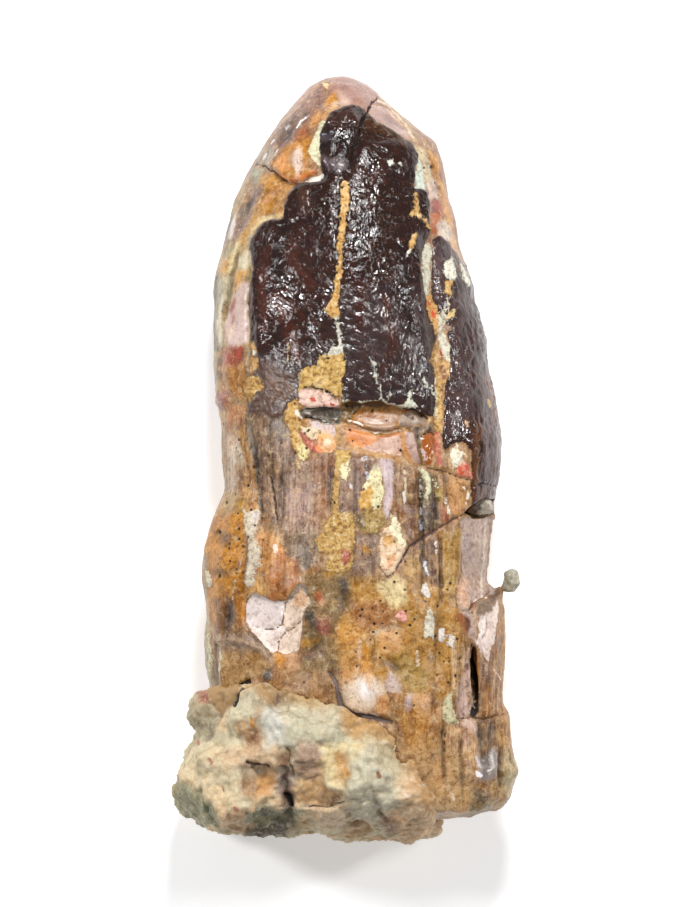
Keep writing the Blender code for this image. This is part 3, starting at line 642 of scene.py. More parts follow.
GROUND_TINTS = (
    # tip
    Mark("tip dentine", "98745a", 0, 1.6, (285, 60, 400, 60, 452, 130, 470, 262, 400, 262,
        398, 110, 340, 98, 322, 120, 324, 184, 282, 216, 246, 246, 204, 300, 204, 200)),
    Mark("worn cap", "9c766a", 0, 0.5, (329, 72, 352, 68, 390, 92, 374, 104, 368, 112, 352, 104,
        340, 108, 332, 112, 330, 96), gloss=0.6),
    Mark("cap rose", "cbab9a", 0, 0.6, (338, 92, 346, 94, 350, 104, 338, 106), gloss=0.6),
    Mark("brown mauve band", "8f6b60", 0, 0.5, (300, 84, 322, 86, 328, 96, 322, 108, 314, 118,
        304, 114, 292, 112)),
    Mark("pink edge", "b08a76", 4, 0.4, (316, 84, 304, 96, 290, 112, 276, 130)),
    Mark("amber streak", "cf9142", 0, 0.4, (327, 97, 336, 91, 337, 100, 332, 108, 326, 105)),
    Mark("pale run", "d9b896", 0, 0.4, (334, 100, 342, 105, 334, 111, 327, 112)),
    Mark("tan run", "cb9564", 0, 0.4, (316, 108, 326, 113, 324, 124, 310, 128, 312, 116)),
    Mark("mauve wrinkles", "7d6157", 0, 0.4, (284, 118, 300, 108, 312, 112, 306, 124, 292, 134,
        276, 146, 268, 142)),
    Mark("dark wrinkle", "56443f", 3, 0.3, (284, 126, 290, 132, 280, 140)),
    Mark("dark wrinkle", "5d4a43", 3, 0.3, (298, 118, 290, 122)),
    Mark("red wrinkles", "a8674a", 0, 0.4, (296, 130, 308, 126, 312, 132, 302, 142, 290, 146)),
    Mark("plum wrinkles", "7a564a", 0, 0.4, (270, 142, 288, 136, 286, 147, 270, 152)),
    Mark("amber field", "bd8444", 0, 0.5, (272, 160, 284, 148, 296, 142, 310, 136, 313, 150,
        306, 168, 314, 174, 296, 179, 280, 173)),
    Mark("peach left", "dc9c68", 0, 0.4, (276, 160, 287, 156, 290, 172, 278, 171)),
    Mark("milky spot", "ecd6ca", 0, 0.35, (294, 152, 300, 149, 303, 160, 302, 172, 297, 175,
        292, 162)),
    Mark("peach lip", "cd7f50", 4, 0.3, (280, 176, 290, 180, 302, 178, 314, 173)),
    Mark("silver grey", "9c9080", 0, 0.4, (258, 150, 272, 146, 276, 156, 268, 166, 254, 164)),
    Mark("speckled green", "93937a", 0, 0.5, (250, 166, 264, 167, 266, 180, 254, 186)),
    Mark("amber under lip", "b88443", 0, 0.5, (262, 172, 280, 178, 295, 186, 286, 200, 283, 214,
        262, 217, 256, 204)),
    Mark("brown under lip", "a16c31", 5, 0.4, (270, 192, 278, 204)),
    Mark("pink thread", "d8a488", 2, 0.2, (286, 184, 276, 192, 266, 204)),
    Mark("tan run", "b48c5c", 0, 0.6, (240, 196, 262, 200, 264, 218, 246, 244, 226, 244)),
    Mark("mauve margin", "7b6357", 11, 0.5, (258, 190, 250, 206, 240, 226, 228, 250)),
    Mark("dark margin", "5c4c47", 5, 0.4, (248, 204, 242, 214)),
    Mark("olive edge", "a38e66", 5, 0.4, (246, 180, 240, 196, 232, 214)),
    Mark("black edge", "55534f", 4, 0.3, (231, 216, 226, 232, 222, 248)),
    Mark("silver edge", "c9c3bc", 2.6, 0.2, (236, 214, 233, 226, 228, 240), gloss=0.8),
    Mark("ochre rim", "c79650", 5, 0.3, (256, 222, 248, 234, 240, 246, 236, 262)),
    Mark("cream rim", "ddd0a0", 2.4, 0.2, (283, 216, 266, 219, 254, 230, 248, 238)),
    Mark("pink facet", "b3948a", 0, 0.25, (371, 107, 380, 106, 388, 109, 398, 120, 407, 131,
        409, 138, 396, 133, 384, 125, 372, 119, 369, 113), gloss=0.8),
    Mark("outer band", "a5875c", 14, 0.5, (386, 92, 408, 108, 426, 130, 434, 150)),
    Mark("cream fleck band", "cdb48c", 3, 0.3, (398, 116, 410, 130, 416, 142)),
    Mark("brown brow", "936850", 8, 0.5, (418, 128, 430, 138, 436, 148)),
    Mark("dotted amber", "c48c4c", 0, 0.4, (426, 150, 437, 154, 442, 184, 434, 180, 428, 166)),
    Mark("brown side", "8d5f4e", 5, 0.4, (439, 140, 444, 162, 450, 200, 458, 236)),
    Mark("cream side", "d8c6a4", 0, 0.4, (416, 146, 424, 150, 432, 170, 438, 196, 428, 192,
        420, 180, 416, 166)),
    Mark("rose white", "dfc5b8", 0, 0.4, (425, 182, 434, 181, 438, 198, 430, 199)),
    Mark("tan side", "c8935e", 6, 0.4, (442, 186, 447, 212, 454, 246)),
    Mark("purple red", "96524c", 0, 0.35, (430, 200, 441, 200, 442, 213, 432, 214)),
    Mark("orange red", "b8643c", 0, 0.35, (430, 214, 441, 213, 440, 232, 431, 236)),
    Mark("cream grey side", "d6c8ba", 0, 0.35, (436, 224, 448, 222, 454, 238, 440, 244)),
    Mark("peach side", "d8b08c", 0, 0.3, (450, 238, 455, 240, 460, 256, 452, 252)),
    # left margin of the crown
    Mark("left margin", "a98f66", 0, 1.2, (200, 250, 256, 236, 254, 420, 205, 420)),
    Mark("ochre spot", "cb9c52", 0, 0.35, (221, 262, 233, 255, 234, 268, 221, 274)),
    Mark("green edge", "8d8d68", 4, 0.3, (230, 246, 226, 258)),
    Mark("cream streak", "e0d6ac", 3, 0.25, (238, 244, 234, 256, 229, 272)),
    Mark("umber thread", "8a7458", 1.6, 0.2, (240, 256, 234, 272, 230, 290)),
    Mark("cream block", "dcd4b8", 0, 0.3, (240, 258, 249, 249, 251, 262, 246, 271, 239, 266)),
    Mark("tan orange", "cda062", 0, 0.4, (234, 272, 247, 271, 243, 284, 232, 294)),
    Mark("grey cream", "b4ac90", 0, 0.4, (217, 280, 228, 276, 231, 294, 222, 312, 216, 300)),
    Mark("dark green edge", "4f5246", 5, 0.4, (216, 276, 213, 310, 215, 350)),
    Mark("cream beads", "e2dcc4", 4, 0.3, (223, 300, 219, 320, 221, 344)),
    Mark("pink panel", "d0b7ae", 0, 0.3, (243, 281, 249, 284, 247, 300, 249, 320, 248, 341,
        236, 351, 227, 345, 225, 325, 230, 305, 238, 290), gloss=0.6),
    Mark("panel streak", "94543c", 4, 0.3, (235, 302, 232, 311), gloss=0.6),
    Mark("panel streak", "9c6350", 3, 0.3, (234, 317, 231, 327), gloss=0.6),
    Mark("panel bead", "f3d9c0", 3, 0.2, (232, 329, 231, 336)),
    Mark("ochre line", "b99a64", 3, 0.25, (251, 276, 250, 306, 250, 340)),
    Mark("red clots", "97503f", 0, 0.4, (221, 350, 232, 346, 246, 347, 245, 362, 236, 369,
        222, 365)),
    Mark("dark clot", "564840", 5, 0.4, (219, 360, 219, 376)),
    Mark("rusty mottle", "a3713f", 0, 0.5, (222, 368, 248, 364, 248, 400, 222, 398)),
    Mark("rose nodule", "8d554d", 0, 0.4, (218, 392, 230, 392, 230, 408, 219, 410)),
    Mark("rust rim", "ad7145", 0, 0.5, (226, 406, 247, 404, 247, 432, 227, 436)),
    # the crown's worn lower left corner
    Mark("worn corner", "685347", 0, 0.5, (250, 346, 274, 356, 300, 370, 306, 396, 300, 432,
        248, 432)),
    Mark("grainy corner", "8a7464", 0, 0.5, (270, 372, 292, 372, 300, 390, 290, 408, 272, 404)),
    Mark("dark corner", "50423a", 8, 0.5, (262, 364, 264, 386, 262, 404)),
    # the chipped band
    Mark("chip ground", "b08658", 0, 0.5, (296, 404, 432, 400, 440, 436, 436, 468, 340, 462,
        296, 446)),
    # painted shade on the right wall of the chipped band
    Mark("umber wall", "7b6756", 0, 0.3, (408, 427, 420, 425, 434, 424, 434, 432, 424, 434,
        419, 441, 418, 458, 420, 465, 416, 452, 413, 436)),
    # root, upper part
    Mark("root ground", "a07a56", 0, 1.2, (196, 424, 300, 424, 345, 452, 420, 466, 470, 480,
        506, 500, 512, 830, 196, 830)),
    Mark("pink flank", "b8a290", 0, 0.4, (228, 432, 242, 440, 247, 456, 240, 472, 233, 494,
        227, 492, 229, 465)),
    Mark("white flank", "cdbfab", 0, 0.3, (232, 445, 244, 447, 249, 458, 247, 467, 240, 462,
        234, 463)),
    Mark("tan flank edge", "86724f", 4, 0.3, (223, 430, 224, 470, 226, 496)),
    Mark("brown flank", "8a6646", 6, 0.4, (241, 466, 240, 484, 237, 502)),
    Mark("ochre stripe", "b98747", 6, 0.3, (241, 428, 246, 450, 250, 470)),
    Mark("dotted tan", "c2905a", 0, 0.4, (248, 464, 257, 466, 260, 490, 263, 510, 250, 512,
        245, 490)),
    Mark("pink tan", "c8a684", 4, 0.3, (253, 482, 254, 500)),
    Mark("dark bark", "674630", 0, 0.4, (247, 410, 266, 416, 281, 440, 283, 470, 282, 522,
        272, 522, 262, 486, 252, 452)),
    Mark("bark shade", "3c2d22", 4, 0.3, (247, 412, 250, 438, 256, 458, 259, 486, 263, 510)),
    Mark("bark light", "8b6244", 4, 0.3, (262, 422, 270, 446, 278, 470)),
    Mark("bark core", "472f20", 4, 0.3, (269, 428, 273, 452, 272, 470)),
    Mark("bark rib", "86604a", 6, 0.3, (266, 476, 270, 500, 274, 520)),
    Mark("bark thread", "b0917a", 1.5, 0.2, (272, 482, 275, 504, 277, 522)),
    Mark("slate bark", "736256", 0, 0.4, (262, 412, 298, 404, 300, 432, 292, 446, 280, 440,
        270, 426)),
    Mark("mauve bark", "8b7265", 0, 0.4, (276, 438, 292, 442, 302, 456, 304, 472, 282, 474,
        276, 456)),
    Mark("grey rib", "a48877", 0, 0.35, (283, 472, 300, 462, 312, 464, 314, 500, 313, 546,
        286, 546, 284, 510)),
    Mark("pale rib", "b3958a", 0, 0.3, (288, 492, 302, 480, 311, 482, 311, 514, 296, 520,
        287, 510)),
    Mark("umber fold", "6d4932", 4, 0.3, (281, 488, 283, 506, 282, 520)),
    Mark("rose rib", "8d5d46", 0, 0.35, (309, 455, 334, 451, 336, 470, 331, 482, 331, 498,
        326, 514, 320, 526, 318, 545, 312, 545, 314, 500)),
    Mark("umber by strip", "5e4434", 3, 0.3, (332, 468, 329, 490, 327, 506)),
    Mark("grey low", "85705f", 0, 0.5, (286, 534, 320, 526, 318, 560, 300, 570, 290, 560)),
    Mark("slate low", "5f534a", 0, 0.4, (302, 546, 317, 544, 315, 566, 304, 568)),
    Mark("mauve field", "876b62", 0, 0.35, (347, 453, 378, 458, 378, 474, 361, 496, 358, 512,
        340, 512, 341, 480)),
    Mark("lilac strip", "cfbdc0", 0, 0.25, (380, 458, 393, 460, 394, 470, 392, 480, 393, 495,
        390, 505, 388, 517, 384, 518, 383, 505, 385, 492, 383, 480, 381, 468), gloss=0.55),
    Mark("cream by strip", "dfd8bf", 0, 0.3, (372, 468, 379, 464, 381, 478, 374, 480)),
    Mark("tan rib", "b39076", 0, 0.3, (394, 466, 401, 470, 405, 490, 402, 502, 396, 496,
        392, 480)),
    Mark("brown rib low", "7a4c2c", 0, 0.3, (408, 470, 417, 470, 419, 500, 418, 536, 411, 536,
        409, 500)),
    Mark("rib edge", "2f1d16", 2.6, 0.2, (418, 474, 419, 504, 418, 534)),
    Mark("mauve rib", "775247", 0, 0.3, (393, 502, 402, 506, 409, 502, 412, 538, 418, 540,
        410, 546, 405, 540, 400, 524)),
    Mark("rust rib", "8c5733", 4, 0.25, (397, 506, 401, 520)),
    Mark("lilac rib", "96797c", 3.4, 0.25, (406, 526, 408, 536)),
    Mark("black ribs", "4a3530", 0, 0.3, (419, 476, 432, 474, 438, 482, 438, 524, 428, 532,
        419, 532)),
    Mark("olive fleck", "a08a46", 0, 0.3, (434, 488, 442, 486, 443, 500, 437, 502)),
    Mark("red fold", "a4523a", 0, 0.3, (439, 504, 447, 508, 448, 522, 441, 520)),
    Mark("orange tan", "cf9b6a", 0, 0.4, (448, 478, 468, 482, 466, 506, 458, 516, 446, 512)),
    Mark("ochre tan", "b07a35", 4, 0.3, (463, 488, 462, 504)),
    Mark("umber ribs", "6c4839", 0, 0.3, (421, 544, 440, 534, 442, 556, 439, 598, 430, 596,
        424, 576)),
    Mark("tan crumbs", "cf9f6e", 4, 0.3, (434, 556, 436, 570)),
    Mark("brown by crack", "8a5d3c", 0, 0.3, (408, 548, 420, 543, 421, 556, 412, 557)),
    Mark("ochre by crack", "b58a46", 0, 0.35, (404, 558, 412, 556, 421, 562, 420, 574, 410, 577,
        402, 572)),
    Mark("ochre shoulder", "b18a49", 0, 0.5, (441, 534, 452, 528, 461, 530, 462, 560, 458, 582,
        456, 602, 441, 600)),
    Mark("umber shoulder", "92652f", 6, 0.4, (459, 546, 460, 562, 457, 576)),
    Mark("mauve mottle", "8b7468", 0, 0.4, (354, 534, 377, 531, 379, 560, 372, 573, 352, 573)),
    Mark("orange crumb", "d3a05c", 4, 0.25, (364, 546, 368, 549)),
    # root, left bulge
    Mark("orange bulge", "b57c37", 0, 0.7, (196, 516, 218, 500, 245, 500, 248, 560, 244, 600,
        226, 622, 196, 622)),
    Mark("olive brow", "a17f4c", 0, 0.5, (222, 490, 246, 498, 246, 513, 214, 515)),
    Mark("bright flow", "d0924a", 6, 0.5, (216, 546, 226, 556, 238, 552)),
    Mark("bright flow", "ce9450", 7, 0.5, (212, 590, 222, 584, 232, 588)),
    Mark("umber flow", "8e622c", 5, 0.5, (214, 530, 224, 536, 236, 534)),
    Mark("umber flow", "8c5f2b", 5, 0.5, (214, 570, 228, 572, 240, 564)),
    Mark("olive edge left", "847049", 5, 0.4, (206, 556, 206, 600, 206, 640)),
    Mark("brown foot", "845a32", 0, 0.5, (216, 598, 240, 590, 247, 602, 246, 628, 232, 635,
        216, 635)),
    Mark("umber core", "624226", 8, 0.5, (232, 604, 226, 628)),
    Mark("orange stripe", "ac7030", 8, 0.4, (240, 584, 241, 618)),
    Mark("peach stripe", "d5945a", 2.6, 0.25, (244, 598, 245, 622)),
    Mark("orange glow", "cf9458", 0, 0.4, (260, 528, 274, 534, 286, 550, 284, 570, 260, 572,
        256, 548)),
    Mark("bright orange", "e2884a", 4, 0.3, (277, 546, 283, 556, 280, 568)),
    Mark("rust streaks", "b47448", 0, 0.4, (282, 550, 298, 560, 300, 580, 286, 595, 266, 599,
        262, 594, 266, 574)),
    Mark("peach thread", "e0a874", 2.4, 0.2, (268, 560, 270, 592)),
    Mark("peach thread", "cf8f5c", 2.4, 0.2, (276, 572, 277, 595)),
    Mark("umber thread", "935a37", 2.2, 0.2, (285, 566, 283, 590)),
    Mark("cream orange", "e6b87e", 0, 0.3, (250, 586, 262, 572, 268, 594, 252, 595)),
    Mark("gritty band", "947b66", 0, 0.35, (216, 634, 250, 629, 264, 642, 272, 652, 262, 662,
        240, 650, 216, 650)),
    Mark("tan foot", "a9855a", 0, 0.5, (216, 650, 262, 650, 272, 668, 250, 680, 232, 692,
        214, 700)),
    Mark("green flank", "a49b7c", 7, 0.4, (207, 620, 208, 660, 213, 696)),
    Mark("silver hollow", "625850", 0, 0.3, (262, 672, 272, 664, 275, 676, 266, 680)),
    Mark("orange by scar", "cd8d4c", 0, 0.35, (276, 651, 291, 651, 289, 663, 278, 663)),
    Mark("peach by scar", "cfa583", 0, 0.35, (288, 652, 301, 650, 302, 666, 286, 668)),
    # root, middle
    Mark("smoky mottle", "89704e", 0, 0.7, (304, 572, 344, 568, 362, 574, 356, 622, 340, 668,
        302, 668, 304, 620)),
    Mark("ochre smoke", "b78a49", 6, 0.4, (328, 572, 342, 568)),
    Mark("slate smoke", "544c44", 8, 0.4, (308, 612, 316, 620)),
    Mark("slate smoke", "635750", 10, 0.5, (344, 582, 352, 594, 344, 606)),
    Mark("plum spot", "8e584b", 0, 0.35, (316, 616, 330, 614, 331, 630, 318, 631)),
    Mark("rust spot", "a9684a", 7, 0.35, (318, 592, 322, 600)),
    Mark("ochre bit", "bd8a46", 6, 0.3, (306, 640, 316, 638)),
    Mark("mauve bit", "7a675b", 8, 0.4, (308, 654, 322, 650)),
    Mark("dotted field", "b48850", 0, 0.7, (352, 578, 420, 576, 462, 600, 462, 690, 420, 700,
        342, 660, 340, 622)),
    Mark("brown pool", "a3714a", 0, 0.5, (354, 600, 392, 600, 402, 622, 366, 626, 350, 620)),
    Mark("yellow cream", "ebd8a8", 0, 0.35, (377, 580, 386, 577, 396, 574, 406, 584, 404, 600,
        396, 606, 388, 604, 381, 594)),
    Mark("orange glow low", "cf9a5e", 0, 0.9, (338, 624, 356, 621, 363, 632, 360, 643, 348, 647,
        338, 642)),
    Mark("peach pool", "d2a272", 0, 0.4, (378, 630, 395, 626, 405, 634, 400, 649, 384, 651,
        376, 640)),
    Mark("cream arc", "dcc6aa", 3, 0.25, (373, 630, 380, 628, 390, 624, 399, 625)),
    Mark("peach low", "d8a56e", 0, 0.5, (340, 652, 362, 648, 374, 670, 360, 680, 342, 678)),
    Mark("amber stripe", "cc8f4a", 5, 0.3, (366, 646, 366, 668)),
    Mark("pale stripe", "e6c6a2", 2, 0.2, (360, 640, 358, 664, 357, 690)),
    Mark("pale stripe", "dcbc96", 2, 0.2, (377, 646, 377, 668)),
    Mark("umber stripe", "a0704a", 2, 0.2, (373, 644, 371, 668)),
    Mark("olive patch", "a3854e", 0, 0.9, (392, 655, 404, 650, 420, 660, 429, 672, 424, 689,
        408, 688, 396, 672)),
    Mark("umber cluster", "735a40", 3, 0.3, (383, 659, 390, 663, 397, 666)),
    Mark("pale peach", "ecd6bc", 0, 0.5, (341, 680, 352, 675, 366, 672, 384, 680, 385, 692,
        378, 704, 360, 709, 348, 704, 340, 694), gloss=0.5),
    Mark("white core", "f2e2d4", 0, 0.9, (356, 678, 367, 674, 376, 684, 378, 692, 370, 700,
        358, 698, 354, 688), gloss=0.55),
    Mark("core shine", "fbf4f0", 0, 0.4, (360, 680, 368, 678, 370, 690, 362, 692), gloss=0.6),
    Mark("core streak", "e6b080", 2.6, 0.25, (367, 668, 368, 684)),
    Mark("core streak", "dfa878", 3, 0.25, (346, 668, 352, 676)),
    Mark("lilac wash", "d3beb6", 0, 0.35, (385, 680, 388, 668, 394, 672, 402, 686, 396, 692,
        388, 690)),
    Mark("umber comma", "a5734a", 4, 0.25, (393, 691, 402, 698)),
    Mark("orange peach", "dca272", 0, 0.4, (377, 694, 384, 690, 390, 702, 384, 712, 374, 708)),
    Mark("lilac drop", "dfd0d4", 5, 0.25, (409, 693, 408, 704)),
    Mark("pale right", "d2a67c", 0, 0.5, (412, 690, 428, 688, 432, 714, 414, 716)),
    Mark("umber right", "896548", 6, 0.4, (434, 684, 432, 700, 428, 716)),
    Mark("cream drip", "dfc49c", 3, 0.25, (451, 640, 453, 664, 452, 690)),
    Mark("grey drip", "c9c0ae", 3, 0.25, (430, 652, 431, 658)),
    # root, right edge and foot
    Mark("peach under panel", "cdb09a", 6, 0.3, (474, 612, 474, 636)),
    Mark("rose band", "d2b3aa", 0, 0.3, (464, 660, 469, 672, 471, 700, 469, 713, 460, 715,
        456, 704, 457, 692, 460, 676), gloss=0.5),
    Mark("rose shade", "8d6d66", 4, 0.25, (468, 648, 466, 664)),
    Mark("rose streak", "9f7e76", 2.6, 0.25, (466, 676, 468, 700)),
    Mark("splinter bark", "a06c36", 0, 0.4, (478, 646, 490, 640, 498, 600, 510, 600, 508, 720,
        478, 720)),
    Mark("red brown core", "7a4426", 0, 0.35, (474, 648, 481, 656, 489, 661, 491, 670, 488, 682,
        481, 680, 477, 668)),
    Mark("splinter light", "d99658", 3, 0.25, (485, 688, 487, 712)),
    Mark("splinter orange", "c17c3c", 3, 0.25, (473, 646, 476, 662, 479, 690)),
    Mark("ochre rind", "b98a4e", 2, 0.25, (501, 600, 504, 640, 502, 690)),
    Mark("ochre foot", "b07c42", 0, 0.6, (395, 706, 442, 702, 446, 746, 430, 760, 408, 746)),
    Mark("fibrous foot", "c09468", 0, 0.6, (440, 720, 478, 720, 480, 780, 466, 812, 424, 800,
        428, 756)),
    Mark("peach foot", "d2a983", 0, 0.4, (445, 726, 462, 728, 460, 756, 450, 752)),
    Mark("rose block", "d4b5aa", 0, 0.3, (460, 716, 470, 715, 475, 724, 477, 734, 470, 730,
        462, 724), gloss=0.5),
    Mark("rose tail", "dcbca8", 4, 0.3, (464, 728, 466, 746)),
    Mark("peach tail", "e8be94", 4, 0.25, (471, 742, 472, 750)),
    Mark("lilac tail", "cbb1a0", 5, 0.3, (466, 756, 467, 774)),
    Mark("amber foot", "cb8b54", 0, 0.4, (428, 756, 446, 752, 449, 776, 440, 787, 430, 780)),
    Mark("pale foot", "dcc2a8", 6, 0.4, (446, 776, 453, 794)),
    Mark("brown ribs", "8d6334", 0, 0.4, (477, 716, 500, 714, 498, 748, 484, 754, 478, 740)),
    Mark("umber line", "5f4022", 2, 0.2, (480, 718, 481, 744)),
    Mark("umber line", "6b4a27", 2, 0.2, (491, 720, 489, 750)),
    Mark("ochre rind low", "ad7c36", 0, 0.4, (498, 718, 510, 716, 508, 740, 500, 748, 495, 738)),
    Mark("grey glints", "9a8f89", 0, 0.4, (474, 750, 484, 754, 494, 744, 499, 758, 497, 776,
        478, 778), gloss=0.7),
    Mark("dark foot", "43342a", 0, 0.4, (468, 782, 480, 786, 488, 794, 482, 801, 470, 801)),
    Mark("olive foot", "8d7a50", 0, 0.5, (466, 802, 492, 798, 494, 816, 468, 818)),
    Mark("ochre foot right", "a98348", 0, 0.4, (490, 778, 502, 772, 506, 808, 490, 818)),
    Mark("olive flake", "b5a47c", 0, 0.3, (502, 772, 505, 748, 512, 756, 522, 764, 520, 776,
        514, 800, 506, 797, 501, 785)),
    Mark("blended foot", "cdab80", 0, 1.6, (400, 742, 440, 738, 470, 752, 474, 800, 440, 820,
        404, 800), strength=0.7),
    Mark("pale foot end", "cbab84", 0, 0.6, (398, 786, 440, 790, 462, 812, 440, 830, 400, 842)),
)
